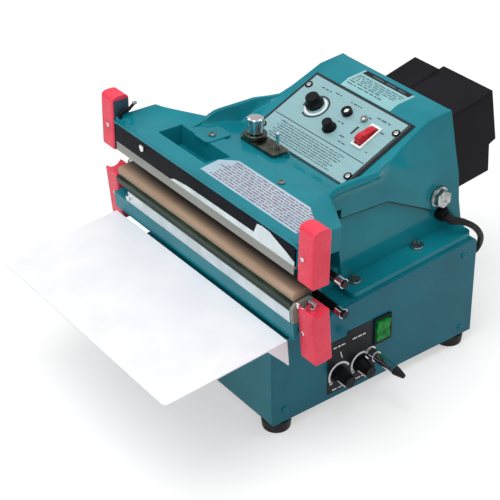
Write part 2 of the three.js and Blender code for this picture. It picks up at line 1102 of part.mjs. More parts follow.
// The outer face of a cheek leans out towards its foot.
function cheekFaceAt(w) {
  const down = THREE.MathUtils.clamp((cheekTop - w) / (cheekTop - flangeThickness), 0, 1);
  return cheekOuter + (cheekFoot - cheekOuter) * down;
}

// The gland stands on the cheek's face, clear of its leaning lower part.
const glandX = cheekFaceAt(glandW - glandRadius) + seat;

function cheek() {
  const side = rounded([
    [cheekFront, flangeThickness / 2],
    [cheekFront, cheekTop, cheekShoulder],
    [pivotV - bossRadius, cheekTop, cheekShoulder],
    [flangeRear, cheekRearTop, cheekShoulder],
    [flangeRear, flangeThickness / 2],
  ]);
  const plate = extrudeX(side, cheekOuter - cheekWall, cheekOuter);
  const boss = alongX(rod(bossRadius, -bossProud, cheekWall, medium), cheekOuter - cheekWall, pivotV, pivotW);
  const wall = join(plate, boss);
  const position = wall.attributes.position;
  for (let i = 0; i < position.count; i += 1) {
    if (position.getX(i) > cheekOuter - seat) position.setX(i, cheekFaceAt(position.getZ(i)));
  }
  const bore = rod(pivotRadius + slide, -2 * bossProud, 2 * cheekWall, medium);
  const hole = alongX(bore, cheekOuter - cheekWall, pivotV, pivotW);
  return cut(wall, hole);
}

function frameCasting() {
  const flange = extrudeZ(
    rectangle(-flangeHalf, flangeHalf, flangeFront, flangeRear, flangeCorner),
    seat,
    flangeThickness,
  );
  const window = block(
    -deckOpeningWidth / 2,
    deckOpeningWidth / 2,
    deckOpeningFront,
    deckOpeningRear,
    -overrun,
    flangeThickness + overrun,
  );
  const right = cheek();
  const inside = cheekOuter - cheekWall + frameWall / 2;
  const frontWall = block(-inside, inside, cheekFront, cheekFront + frameWall, seat, frontWallTop);
  const rearWall = block(-inside, inside, flangeRear - frameWall, flangeRear, seat, rearWallTop);
  const platform = extrudeX(
    outline([
      [beamFront + beamWall, seat],
      [cheekFront + frameWall, seat],
      [cheekFront + frameWall, platformTop],
      [beamFront + 2 * beamDepth, platformTop],
      [beamFront + beamDepth, beamTop],
      [beamFront, beamTop],
      [beamFront, beamBottom],
      [beamFront + beamWall, beamBottom],
    ]),
    -platformHalf,
    platformHalf,
  );
  const beam = extrudeX(
    outline([
      [beamFront, beamBottom],
      [beamFront + beamWall, beamBottom],
      [beamFront + beamWall, beamTop - beamWall],
      [beamFront + beamDepth - beamWall, beamTop - beamWall],
      [beamFront + beamDepth - beamWall, beamBottom],
      [beamFront + beamDepth, beamBottom],
      [beamFront + beamDepth, beamTop],
      [beamFront, beamTop],
    ]),
    -jawHalf,
    jawHalf,
  );
  const earX = jawHalf - 2 * earInset;
  const earReach = earRadius + lowerRodV - beamFront - beamDepth;
  const ear = join(
    alongX(rod(earRadius, 0, earThickness, coarse), earX, lowerRodV, lowerRodW),
    block(
      earX,
      earX + earThickness,
      lowerRodV - earReach,
      lowerRodV + earRadius / 2,
      beamTop - beamWall,
      lowerRodW - earRadius / 2,
    ),
  );
  const body = join(flange, right, mirrorX(right), frontWall, rearWall, platform, beam, ear, mirrorX(ear));
  const rodHole = alongX(rod(rodRadius + slide, -jawHalf, jawHalf, coarse), 0, lowerRodV, lowerRodW);
  return cut(body, window, rodHole);
}

function lowerRail() {
  const depth = beamFront + railDepth;
  return block(-railHalf + railLeftCut, railHalf, beamFront, depth, beamTop + seat, railTop);
}

function lowerInsulator() {
  return block(
    -railHalf,
    railHalf,
    beamFront + insulatorInset,
    beamFront + railDepth,
    railTop + seat,
    insulatorTop,
  );
}

function lowerSealingBar() {
  const front = beamFront + barInset;
  const crown = rounded([
    [front, insulatorTop + seat],
    [front + barDepth, insulatorTop + seat],
    [front + barDepth, barTop, barCrown * 2],
    [front, barTop, barCrown * 2],
  ]);
  return extrudeX(crown, -railHalf, railHalf);
}

function clothRod() {
  const waist = rodHalf - rodEndLength;
  return alongX(
    turned(
      [
        [0, -rodHalf],
        [rodEndRadius, -rodHalf],
        [rodEndRadius, -waist],
        [rodRadius, -waist],
        [rodRadius, waist],
        [rodEndRadius, waist],
        [rodEndRadius, rodHalf],
        [0, rodHalf],
      ],
      coarse,
    ),
    0,
    0,
    0,
  );
}

// A cap closes the end of a jaw; its outline is drawn in plan and its crown in side view.
function endCap(front, bottom, top, crownRadius) {
  const inner = jawHalf + seat;
  const outer = inner + capWidth;
  const plan = rounded([
    [inner, front, capChamfer],
    [outer, front, capChamfer],
    [outer, front + capDepth, capChamfer],
    [inner, front + capDepth, capChamfer],
  ]);
  const side = rounded([
    [front, bottom, capChamfer],
    [front + capDepth, bottom, capChamfer],
    [front + capDepth, top, crownRadius],
    [front, top, crownRadius],
  ]);
  return common(extrudeZ(plan, bottom, top, 0, 0, 3), extrudeX(side, inner, outer));
}

function lowerCap() {
  const cap = endCap(lowerCapFront, lowerCapBottom, lowerCapTop, capChamfer);
  const notch = alongX(
    rod(capNotchRadius, jawHalf - overrun, jawHalf + 2 * capWidth, coarse),
    0,
    lowerCapFront + capDepth / 2,
    lowerCapTop + capNotchRadius - capNotchDepth,
  );
  return cut(cap, notch);
}

function upperCap() {
  return endCap(upperCapFront, upperCapBottom, upperCapTop, capCrownRadius);
}

// A bent sheet: the top reaches out to the operator and the flange hangs behind the base's front edge.
function workTray() {
  const rear = trayFlangeBottom * deckSlope - seat;
  const front = rear - traySheet;
  const sheet = extrudeZ(
    rounded([
      [-trayHalf, front - trayLength, trayCornerRadius],
      [trayHalf, front - trayLength, trayCornerRadius],
      [trayHalf, rear],
      [-trayHalf, rear],
    ]),
    trayTop - traySheet,
    trayTop,
  );
  const flange = block(-trayHalf, trayHalf, front, rear, trayFlangeBottom, trayTop);
  const web = outline([
    [front - trayWebLength, trayTop - traySheet / 2],
    [front + traySheet / 2, trayFlangeBottom],
    [front + traySheet / 2, trayTop - traySheet / 2],
  ]);
  const ends = [-trayHalf, trayHalf - traySheet].map((x) => extrudeX(web, x, x + traySheet));
  return join(sheet, flange, ...ends);
}

function cableGland() {
  return turned(
    [
      [leadRadius + slide, 0],
      [glandRadius, 0],
      [glandRadius, glandLength * glandNutShare],
      [glandRadius * glandTipShare, glandLength],
      [leadRadius + slide, glandLength],
      [leadRadius + slide, 0],
    ],
    coarse,
  );
}

function lead(points) {
  const curve = new THREE.CatmullRomCurve3(points.map((point) => new THREE.Vector3(...point)));
  const section = new THREE.Shape().absarc(0, 0, leadRadius, 0, 2 * Math.PI);
  return new THREE.ExtrudeGeometry(section, {
    steps: leadSteps,
    curveSegments: leadSides / 2,
    extrudePath: curve,
    bevelEnabled: false,
  });
}

function grommet() {
  return turned(
    [
      [leadRadius + slide, -baseSheet - grommetDepth / 2],
      [leadRadius + grommetWall - seat, -baseSheet - grommetDepth / 2],
      [leadRadius + grommetWall - seat, seat],
      [grommetRadius, seat],
      [grommetRadius * glandTipShare, grommetDepth],
      [leadRadius + slide, grommetDepth],
      [leadRadius + slide, -baseSheet - grommetDepth / 2],
    ],
    coarse,
  );
}

// Arm casting

// Where the housing's leaning rear face stands at a height.
function housingRearAt(w) {
  return housingRearV + ((housingHeelV - housingRearV) * (housingRearW - w)) / (housingRearW - housingHeelW);
}

// The value at a place along a row of [place, value] pairs, held level past both ends.
function along(row, place) {
  const next = row.findIndex(([at]) => at > place);
  if (next === 0) return row[0][1];
  if (next < 0) return row[row.length - 1][1];
  const [from, first] = row[next - 1];
  const [to, second] = row[next];
  return first + ((second - first) * (place - from)) / (to - from);
}

// A row of shares stretched between two places and two values.
function stretched(shares, from, to, first, second) {
  return shares.map(([run, rise]) => [from + run * (to - from), first + rise * (second - first)]);
}

const panelSlope = Math.tan(panelTilt);
const slopeAt = (v) => panelFootW + (v - panelFootV) * panelSlope;
const housingFrontW = slopeAt(housingFrontV);
const topSlope = (housingRearW - housingFrontW) / (housingRearV - housingFrontV);
const loftRearV = skirtHeelV + overrun;
const armHigh = housingRearW + rimWidth;

// The middle of the arm's top, from the crossbar over the dish and the slope to the rear.
const floorRow = [
  [basinFrontV, crossbarTop],
  [basinMidV, basinMidW],
  [panelFootV, panelFootW],
  [housingFrontV, housingFrontW],
  [loftRearV, housingFrontW + (loftRearV - housingFrontV) * topSlope],
];

// The height and the half width of the rims, which become the housing's upper edges.
const rimHeightRow = [
  ...stretched(rimClimbShare, rimFrontV, rimFullV, crossbarTop, rimTop),
  [rimBendV, rimTop],
  [neckRearV, slopeAt(neckRearV) + housingEdge],
  [housingFrontV, housingFrontW + housingEdge],
  [loftRearV, housingFrontW + housingEdge + (loftRearV - housingFrontV) * topSlope],
];
const rimHalfRow = [
  ...stretched(rimBendShare, rimBendV, neckRearV, neckHalf, neckWaistHalf),
  ...stretched(housingTaperShare, neckRearV, housingFrontV, neckWaistHalf, housingHalf),
];
const rollRow = [
  [rimBendV, neckRoll],
  [neckRearV, housingRoll],
];

// The crease along the arm's side, under the rounded rim.
const creaseHalfRow = stretched(creaseBendShare, creaseBendV, neckRearV, creaseHalf, creaseRearHalf);
const creaseHeightRow = [
  [neckRearV, rimTop - creaseDrop],
  [pivotV, creasePivotW],
  [loftRearV, creaseRearW],
];

// One cross-section of the neck and the housing in (w, x), from the left foot over the top to the right foot.
function armSection(v) {
  const floor = along(floorRow, v);
  const top = along(rimHeightRow, v);
  const half = along(rimHalfRow, v);
  const roll = along(rollRow, v);
  const fillet = Math.max(top - floor, housingEdge);
  const crease = Math.min(top - creaseDrop, along(creaseHeightRow, v));
  const side = [
    [skirtHeelW - overrun, skirtOuter],
    [crease - creaseFall, skirtOuter],
    [crease, along(creaseHalfRow, v)],
    ...rollShare.map(([out, down]) => [top - down * roll, half + out * roll]),
    [top, half],
    ...filletShare.map(([inward, up]) => [floor + up * fillet, half - inward * rimWidth]),
  ];
  return [...side.map(([w, x]) => [w, -x]), ...side.reverse()];
}

// The arm's side view, which ends the sections below and at the rear.
function armSide() {
  return outline([
    [rimFrontV, crossbarBottom],
    [skirtFrontV, crossbarBottom],
    [skirtFrontV, skirtFrontW],
    [skirtKneeV, skirtKneeW],
    [skirtSlopeV, skirtSlopeW],
    [skirtHeelV, skirtHeelW],
    [housingHeelV, housingHeelW],
    [housingRearAt(armHigh), armHigh],
    [rimFrontV, armHigh],
  ]);
}

function neckAndHousing() {
  const rows = [floorRow, rimHeightRow, rimHalfRow, creaseHalfRow, creaseHeightRow];
  const stations = rows
    .flat()
    .map(([place]) => place)
    .filter((place) => place >= rimFrontV)
    .sort((first, second) => first - second)
    .filter((place, i, all) => i === 0 || place - all[i - 1] > stationGap);
  const body = loft(stations.map((v) => [v, armSection(v)])).applyMatrix4(ontoY);
  return common(body, extrudeX(armSide(), -creaseHalf - neckRoll, creaseHalf + neckRoll));
}

// Where the crossbar's rear edge runs, from the neck out to the wing's end.
function wingRearAt(x) {
  return wingRearV + ((wingRootV - wingRearV) * (jawHalf - x)) / (jawHalf - wingRootX);
}

// A wing is dished: its top rises to a rim behind and to the raised end.
function wing() {
  const sections = wingRiseShare.map(([run, rise, trim]) => {
    const x = wingRootX + run * (jawHalf - wingRootX);
    const edge = trim * wingEdge;
    const rear = wingRearAt(x) - edge;
    const floor = crossbarTop + rise * (wingRimTop - crossbarTop) - edge;
    const lift = wingRimTop - edge - floor;
    const front = crossbarTop + rise * wingFrontRise - edge;
    const rim = wingRimShare.map(([ahead, up]) => [rear - ahead * wingDish, floor + up * lift]);
    const section = [
      [barFaceV + edge, crossbarBottom + edge],
      [rear, crossbarBottom + edge],
      ...rim,
      [barFaceV + wingFrontRun, floor],
      [barFaceV + edge, front],
    ];
    return [x, section];
  });
  return loft(sections).applyMatrix4(ontoX);
}

function hollowPlan() {
  const half = jawHalf - armWall;
  const root = neckHalf - rimWidth;
  const rear = wingRearAt(root) - 2 * armWall;
  return outline([
    [-half, barFaceV + armWall],
    [half, barFaceV + armWall],
    [half, wingRearV - armWall],
    [root, rear],
    [-root, rear],
    [-half, wingRearV - armWall],
  ]);
}

// The hollows under the crossbar, the neck and the housing, and the room for the frame and its cheeks.
function armHollows() {
  const low = skirtHeelW - 2 * overrun;
  const under = (wall) => [
    [panelFootV, panelFootW - wall],
    [housingFrontV - wall / 2, slopeAt(housingFrontV - wall / 2) - wall],
    [housingRearAt(housingRearW) - wall, housingRearW - wall],
  ];
  const bar = extrudeZ(hollowPlan(), crossbarBottom - overrun, crossbarTop - armWall);
  const neckHalfInside = neckHalf - rimWidth;
  const neckRoom = extrudeX(
    outline([
      [wingRearV - armWall, skirtTop - overrun],
      [panelFootV + overrun, skirtTop - overrun],
      [panelFootV + overrun, panelFootW - armWall],
      [panelFootV, panelFootW - armWall],
      [basinMidV, basinMidW - armWall],
      [wingRearV - armWall, crossbarTop - armWall],
    ]),
    -neckHalfInside,
    neckHalfInside,
  );
  const innerHalf = cheekOuter - cheekWall - cheekGap;
  const housingRoom = extrudeX(
    outline([
      [panelFootV, low],
      [housingRearAt(low) - armWall, low],
      ...under(armWall).reverse(),
    ]),
    -innerHalf + armWall,
    innerHalf - armWall,
  );
  const belowRoom = extrudeX(
    outline([
      [skirtFrontV - overrun, low],
      [skirtHeelV + overrun, low],
      [skirtHeelV + overrun, housingHeelW],
      [housingHeelV - armWall, housingHeelW],
      [housingRearAt(skirtTop) - armWall, skirtTop],
      [skirtFrontV - overrun, skirtTop],
    ]),
    -innerHalf,
    innerHalf,
  );
  const channel = block(
    innerHalf - overrun,
    skirtOuter - skirtWall,
    skirtFrontV - overrun,
    skirtHeelV + overrun,
    low,
    cheekTop + cheekGap,
  );
  const cheekRoom = cut(channel, block(0, innerHalf, 0, 2 * skirtHeelV, skirtTop, armHigh));
  return [bar, neckRoom, housingRoom, belowRoom, cheekRoom, mirrorX(cheekRoom)];
}

function pocketSection(wall) {
  const floor = crossbarTop - pocketDepth - wall;
  return outline([
    [-pocketLeft - wall, floor],
    [-pocketDeepRight + wall / 2, floor],
    [-pocketRight + wall / 2, crossbarTop - wall],
    [-pocketRight + wall / 2, crossbarTop + (wall ? -overrun : overrun)],
    [-pocketLeft - wall, crossbarTop + (wall ? -overrun : overrun)],
  ]);
}

// The section is drawn in (x, z) and pushed back along Y.
function pocketBlock(wall) {
  const front = pocketFrontV - wall;
  const rear = pocketRearV + wall;
  return new THREE.ExtrudeGeometry(pocketSection(wall), { depth: rear - front, bevelEnabled: false })
    .rotateX(Math.PI / 2)
    .translate(0, rear, 0);
}

function armCasting() {
  const crossbar = block(-neckHalf, neckHalf, barFaceV, rimFrontV + overrun, crossbarBottom, crossbarTop);
  const lip = extrudeX(
    outline([
      [barFaceV - stripThickness - seat, stripTop + seat],
      [barFaceV, stripTop + seat],
      [barFaceV + 2 * crossbarLip, crossbarTop - crossbarLip],
      [barFaceV + 2 * crossbarLip, crossbarTop],
      [barFaceV, crossbarTop + crossbarLip],
      [barFaceV - stripThickness - seat, crossbarTop + crossbarLip],
    ]),
    -jawHalf,
    jawHalf,
  );
  const side = wing();
  const outer = join(crossbar, lip, side, mirrorX(side), neckAndHousing());
  const yokeMiddle = yokeV();
  const yoke = block(
    -yokeHalf,
    yokeHalf,
    yokeMiddle - yokeDepth / 2,
    yokeMiddle + yokeDepth / 2,
    yokeBottom,
    yokeTop,
  );
  const earX = jawHalf - earInset;
  const ear = join(
    alongX(rod(earRadius, 0, earThickness, coarse), earX, upperRodV, upperRodW),
    block(
      earX,
      earX + earThickness,
      upperRodV - earRadius,
      upperRodV + earRadius,
      upperRodW,
      crossbarTop - armWall / 2,
    ),
  );
  const shell = join(
    cut(outer, ...armHollows()),
    yoke,
    ear,
    mirrorX(ear),
    pocketBlock(pocketWall),
    adjusterBoss(),
  );
  const rodHole = alongX(rod(rodRadius + slide, -jawHalf, jawHalf, coarse), 0, upperRodV, upperRodW);
  const pullHole = extrudeZ(
    rectangle(
      -rodShankRadius - slide,
      rodShankRadius + slide,
      yokeMiddle - rodShankRadius - yokeSlot,
      yokeMiddle + rodShankRadius + yokeSlot,
      rodShankRadius,
    ),
    yokeBottom - overrun,
    yokeTop + overrun,
  );
  const reach = skirtOuter + overrun;
  const glandCut = alongX(rod(glandRadius + glandSwing, 0, reach, medium), 0, glandV, glandW);
  const pivotHole = alongX(rod(pivotRadius + slide, -reach, reach, medium), 0, pivotV, pivotW);
  return cut(
    shell,
    pocketBlock(0),
    rodHole,
    pullHole,
    glandCut,
    mirrorX(glandCut),
    pivotHole,
    ...panelHoles(panelHoleDepth),
    spindleHole(),
  );
}

function spindleHole() {
  return rod(adjusterSpindleRadius + seat, crossbarBottom, adjusterPlateTop + overrun, coarse).translate(
    adjusterX,
    adjusterV,
    0,
  );
}

// Openings for the controls, square to the sloping panel.
function panelHoles(depth) {
  const through = (x, u, radius) => rod(radius, -depth, depth, coarse).translate(x, u, 0);
  const tools = [
    through(timerX, timerU, potNutRadius),
    through(fuseX, fuseU, fuseBodyRadius + seat),
    through(lampX, lampU, lampRadius * lampStemShare + seat),
    through(sealLampX, sealLampU, sealLampRadius * lampStemShare + seat),
    block(
      powerX - powerBezelWidth / 2 + powerFrame,
      powerX + powerBezelWidth / 2 - powerFrame,
      powerU - powerBezelLength / 2 + powerFrame,
      powerU + powerBezelLength / 2 - powerFrame,
      -depth,
      depth,
    ),
  ];
  return tools.map((tool) => tool.rotateX(panelTilt).translate(0, panelFootV, panelFootW));
}

// Upper jaw

function upperStrip() {
  const half = jawHalf - stripInset;
  return block(-half, half, barFaceV - stripThickness - seat, barFaceV - seat, stripBottom, stripTop);
}

function upperLip() {
  const half = jawHalf - stripInset;
  const front = barFaceV - stripThickness - seat;
  const side = rounded([
    [front, lipTop],
    [front, lipBottom, barCrown / 2],
    [front + lipDepth, lipBottom, barCrown / 2],
    [front + lipDepth, lipTop],
  ]);
  return extrudeX(side, -half, half);
}

// Instrument panel

function controlPanel() {
  const plate = extrudeZ(
    rectangle(-panelHalf, panelHalf, 0, panelLength, panelCorner),
    seat,
    panelSheet,
  );
  const holes = panelHoles(armWall).map((tool) =>
    tool.translate(0, -panelFootV, -panelFootW).rotateX(-panelTilt),
  );
  return cut(plate, ...holes);
}

function lamp(radius, height, bodyDepth) {
  const stem = radius * lampStemShare;
  return turned(
    [
      [0, -bodyDepth],
      [stem, -bodyDepth],
      [stem, panelSheet + seat],
      [radius, panelSheet + seat],
      [radius, panelSheet + height * lampRimShare],
      [radius * lampLensShare, panelSheet + height * lampRimShare],
      [radius * lampLensShare * lampRimShare, panelSheet + height],
      [0, panelSheet + height],
    ],
    coarse,
  );
}

function fuseHolder() {
  const top = panelSheet + seat;
  return turned(
    [
      [0, -fuseBodyDepth],
      [fuseBodyRadius, -fuseBodyDepth],
      [fuseBodyRadius, top],
      [fuseCapRadius, top],
      [fuseCapRadius, top + panelSheet],
      [fuseCapRadius * fuseNeckShare + slide, top + panelSheet],
      [fuseCapRadius * fuseNeckShare + slide, -fuseBodyDepth / 2],
      [0, -fuseBodyDepth / 2],
    ],
    coarse,
  );
}

function fuseCap() {
  const seatHeight = 2 * panelSheet + 2 * seat;
  return turned(
    [
      [0, -fuseBodyDepth / 2 + slide],
      [fuseCapRadius * fuseNeckShare, -fuseBodyDepth / 2 + slide],
      [fuseCapRadius * fuseNeckShare, seatHeight],
      [fuseCapRadius, seatHeight],
      [fuseCapRadius * knobTopShare, seatHeight + fuseCapHeight],
      [0, seatHeight + fuseCapHeight],
    ],
    coarse,
  );
}

// Pressure adjuster

function adjusterBoss() {
  return block(
    adjusterPlateLeft,
    adjusterPlateRight,
    adjusterPlateFrontV,
    adjusterPlateFrontV + adjusterPlateDepth,
    basinMidW - 2 * armWall,
    adjusterPlateTop - adjusterPlateThickness,
  );
}

function adjusterPlate() {
  const plate = extrudeZ(
    rectangle(
      adjusterPlateLeft,
      adjusterPlateRight,
      adjusterPlateFrontV,
      adjusterPlateFrontV + adjusterPlateDepth,
      rimWidth / 2,
    ),
    adjusterPlateTop - adjusterPlateThickness + seat,
    adjusterPlateTop,
  );
  const bore = rod(adjusterSpindleRadius + seat, 0, 2 * adjusterPlateTop, coarse);
  const hole = bore.translate(adjusterX, adjusterV, 0);
  return cut(plate, hole);
}

function adjusterBase() {
  return ring(
    adjusterSpindleRadius + slide,
    adjusterBaseRadius,
    adjusterPlateTop + seat,
    adjusterPlateTop + adjusterBaseHeight,
  );
}

// A fluted knob on a spindle that reaches down through its base and the plate.
function adjusterKnob() {
  const flutes = 12;
  const grip = new THREE.Shape();
  const steps = flutes * 4;
  for (let i = 0; i < steps; i += 1) {
    const angle = (2 * Math.PI * i) / steps;
    const radius = adjusterKnobRadius - (i % 4 === 0 ? adjusterFluteRadius : 0);
    const place = [radius * Math.cos(angle), radius * Math.sin(angle)];
    if (i === 0) grip.moveTo(...place);
    else grip.lineTo(...place);
  }
  grip.closePath();
  const bottom = adjusterPlateTop + adjusterBaseHeight + seat;
  const body = extrudeZ(grip, bottom, bottom + adjusterKnobHeight, adjusterKnobBevel, 1);
  const spindle = rod(
    adjusterSpindleRadius,
    adjusterPlateTop - adjusterPlateThickness - armWall,
    bottom + adjusterKnobHeight / 2,
    coarse,
  );
  return join(body, spindle);
}

function guidePin() {
  const bottom = adjusterPlateTop + seat;
  return turned(
    [
      [0, bottom],
      [pinRadius, bottom],
      [pinRadius, bottom + pinHeight - pinRadius / 2],
      [pinRadius / 2, bottom + pinHeight],
      [0, bottom + pinHeight],
    ],
    coarse,
  );
}

// Pivot

function pivotShaft() {
  const end = skirtOuter - seat;
  const bore = end - boltShankLength - 2 * seat;
  return alongX(
    turned(
      [
        [0, -bore],
        [boltShankRadius + seat, -bore],
        [boltShankRadius + seat, -end],
        [pivotRadius, -end],
        [pivotRadius, end],
        [boltShankRadius + seat, end],
        [boltShankRadius + seat, bore],
        [0, bore],
      ],
      coarse,
    ),
    0,
    0,
    0,
  );
}

function pivotBolt() {
  const washer = skirtOuter + seat;
  const head = washer + washerThickness;
  const radius = boltFlats / Math.sqrt(3);
  const shank = turned(
    [
      [0, skirtOuter - boltShankLength],
      [boltShankRadius, skirtOuter - boltShankLength],
      [boltShankRadius, washer],
      [washerRadius, washer],
      [washerRadius, head],
      [0, head],
    ],
    medium,
  );
  const hexagon = new THREE.CylinderGeometry(radius, radius, boltHeadHeight + overrun, 6)
    .rotateX(Math.PI / 2)
    .translate(0, 0, head + (boltHeadHeight - overrun) / 2);
  return alongX(join(shank, hexagon), 0, 0, 0);
}

// Rear cover

function coverSide(wall, shift) {
  const surface = [
    [coverFrontLowV, coverFrontLowW],
    [coverHeelV - shift, coverHeelW],
    [coverStepV - shift, coverStepW],
    [coverRearV - shift, coverRearW],
    [coverTopRearV - shift, coverTopRearW],
    [coverFrontTopV, coverFrontTopW],
  ];
  return outline(inset(surface, [wall, wall, wall, wall, wall, wall ? -overrun : 0]));
}

function rearCover() {
  const split = coverSplitX;
  const wide = extrudeX(coverSide(0, 0), split, coverHalf, coverBevel, 1);
  const narrow = extrudeX(coverSide(0, coverShortfall), -coverHalf, split + 3 * coverBevel, coverBevel, 1);
  const wideInner = extrudeX(coverSide(coverWall, 0), split + coverWall, coverHalf - coverWall);
  const narrowInner = extrudeX(
    coverSide(coverWall, coverShortfall),
    -coverHalf + coverWall,
    split + 2 * coverWall,
  );
  const front = extrudeX(
    outline([
      [housingRearV - 2 * coverBevel, housingRearW + seat],
      [housingRearV + seat, housingRearW + seat],
      [housingHeelV + seat, housingHeelW],
      [housingHeelV + seat, coverFrontLowW - overrun],
      [housingRearV - 2 * coverBevel, coverFrontLowW - overrun],
    ]),
    -coverHalf - overrun,
    coverHalf + overrun,
  );
  return cut(join(wide, narrow), wideInner, narrowInner, front);
}

// Assembly

function group(parent, x = 0, y = 0, z = 0, turnX = 0) {
  const frame = new THREE.Group();
  frame.position.set(x, y, z);
  frame.rotation.x = turnX;
  parent.add(frame);
  return frame;
}

const machine = new THREE.Group();

function buildBase(base) {
  add(base, "base_shell", baseShell(), "teal", "paint");
  add(base, "side_panel_right", sidePanel(1), "darkTeal", "paint");
  add(base, "side_panel_left", sidePanel(-1), "darkTeal", "paint");
  add(base, "bottom_plate", bottomPlate(), "steel", "brushed");
  const names = ["front_left", "front_right", "rear_left", "rear_right"];
  footPlaces().forEach(([x, y], i) => {
    add(base, `foot_${names[i]}`, foot().translate(x, y, 0), "rubber", "rubber");
  });
  const bezel = rockerBezel(mainsBezelWidth, mainsBezelHeight, mainsBezelDepth, mainsFrame, mainsBodyDepth);
  const key = rockerKey(mainsBezelWidth, mainsBezelHeight, mainsBezelDepth, mainsFrame, mainsBodyDepth);
  const outward = baseHalf + seat;
  const upright = (geometry) => alongX(geometry, outward, mainsY, mainsZ);
  add(base, "mains_bezel", upright(bezel), "black", "plastic");
  add(base, "mains_rocker", upright(key), "green", "plastic");
  [dialFrontY, dialRearY].forEach((y, i) => {
    const name = i ? "rear" : "front";
    const pot = potentiometer(potNutDepth, sidePanelSheet);
    add(base, `dial_potentiometer_${name}`, alongX(pot, baseHalf, y, dialZ), "steel", "metal");
    const knob = shaftedKnob(dialKnobRadius, dialKnobTipRadius, dialKnobLength, sidePanelSheet + potDepth);
    add(base, `dial_knob_${name}`, alongX(knob, baseHalf, y, dialZ), "black", "plastic");
  });
  const socket = (geometry) => alongX(geometry, baseHalf, jackY, jackZ);
  add(base, "foot_switch_socket", socket(jackSocket()), "chrome", "metal");
  add(base, "plug_collar", socket(plugCollar()), "chrome", "metal");
  add(base, "plug_body", socket(plugBody()), "chrome", "metal");
  add(base, "plug_boot", socket(plugBoot()), "rubber", "rubber");
  add(base, "timer_board", timerBoard(), "board", "plastic");
  const drive = group(base, 0, magnetY);
  add(drive, "magnet_frame", magnetFrame(), "steel", "brushed");
  add(drive, "magnet_coil", magnetCoil(), "copper", "plastic");
  add(drive, "magnet_plunger", plunger(), "steel", "metal");
  add(drive, "return_spring", returnSpring(), "steel", "metal");
}

function buildFrame(deck) {
  add(deck, "frame_casting", frameCasting(), "teal", "paint");
  add(deck, "lower_jaw_rail", lowerRail(), "aluminium", "brushed");
  add(deck, "lower_insulator", lowerInsulator(), "black", "plastic");
  add(deck, "lower_sealing_bar", lowerSealingBar(), "cloth", "plastic");
  add(deck, "lower_cap_right", lowerCap(), "red", "plastic");
  add(deck, "lower_cap_left", mirrorX(lowerCap()), "red", "plastic");
  add(deck, "lower_cloth_rod", clothRod().translate(0, lowerRodV, lowerRodW), "black", "metal");
  add(deck, "work_tray", workTray(), "white", "paint");
  add(deck, "cable_gland", alongX(cableGland(), glandX, glandV, glandW), "black", "plastic");
}

function buildArm(arm) {
  add(arm, "arm_casting", armCasting(), "teal", "paint");
  add(arm, "upper_jaw_strip", upperStrip(), "black", "plastic");
  add(arm, "upper_sealing_lip", upperLip(), "cloth", "plastic");
  add(arm, "upper_cap_right", upperCap(), "red", "plastic");
  add(arm, "upper_cap_left", mirrorX(upperCap()), "red", "plastic");
  add(arm, "upper_cloth_rod", clothRod().translate(0, upperRodV, upperRodW), "black", "metal");
  add(arm, "adjuster_plate", adjusterPlate(), "chrome", "metal");
  const overPlate = (geometry) => geometry.translate(adjusterX, adjusterV, 0);
  add(arm, "adjuster_base", overPlate(adjusterBase()), "black", "plastic");
  add(arm, "adjuster_knob", overPlate(adjusterKnob()), "chrome", "metal");
  add(arm, "guide_pin", guidePin().translate(pinX, pinV, 0), "chrome", "metal");
  const pivot = group(arm, 0, pivotV, pivotW);
  add(pivot, "pivot_shaft", pivotShaft(), "steel", "metal");
  add(pivot, "pivot_bolt_right", pivotBolt(), "chrome", "metal");
  add(pivot, "pivot_bolt_left", mirrorX(pivotBolt()), "chrome", "metal");
  add(arm, "rear_cover", rearCover(), "black", "plastic");
  const lean = Math.atan2(housingHeelV - housingRearV, housingRearW - housingHeelW);
  const heel = group(arm, transformerX, housingHeelV + seat, housingHeelW, -Math.PI / 2 + lean);
  add(heel, "transformer", transformer().translate(0, -transformerRise, 0), "steel", "brushed");
}

function buildPanel(panel) {
  add(panel, "control_panel", controlPanel(), "panel", "brushed");
  const onPanel = (geometry, x, u) => geometry.translate(x, u, 0);
  const pot = potentiometer(panelSheet + potNutDepth, armWall);
  add(panel, "timer_potentiometer", onPanel(pot, timerX, timerU), "steel", "metal");
  const knob = shaftedKnob(timerKnobRadius, timerKnobTop, timerKnobHeight, panelSheet + armWall + potDepth);
  add(panel, "timer_knob", onPanel(knob, timerX, timerU).translate(0, 0, panelSheet), "black", "plastic");
  add(panel, "fuse_holder", onPanel(fuseHolder(), fuseX, fuseU), "black", "plastic");
  add(panel, "fuse_cap", onPanel(fuseCap(), fuseX, fuseU), "black", "plastic");
  const large = lamp(lampRadius, lampHeight, lampBodyDepth);
  add(panel, "power_lamp", onPanel(large, lampX, lampU), "lamp", "plastic");
  const small = lamp(sealLampRadius, sealLampHeight, lampBodyDepth);
  add(panel, "seal_lamp", onPanel(small, sealLampX, sealLampU), "lamp", "plastic");
  const sizes = [powerBezelWidth, powerBezelLength, powerBezelDepth, powerFrame, powerBodyDepth];
  const raise = (geometry) => geometry.translate(powerX, powerU, panelSheet + seat);
  add(panel, "power_bezel", raise(rockerBezel(...sizes)), "white", "plastic");
  add(panel, "power_rocker", raise(rockerKey(...sizes)), "switchRed", "plastic");
}

const base = group(machine, 0, 0, footHeight);
buildBase(base);
const deck = group(base, 0, 0, baseFrontHeight, deckTilt);
buildFrame(deck);
const arm = group(group(deck, 0, pivotV, pivotW, -openAngle), 0, -pivotV, -pivotW);
buildArm(arm);
buildPanel(group(arm, 0, panelFootV, panelFootW, panelTilt));

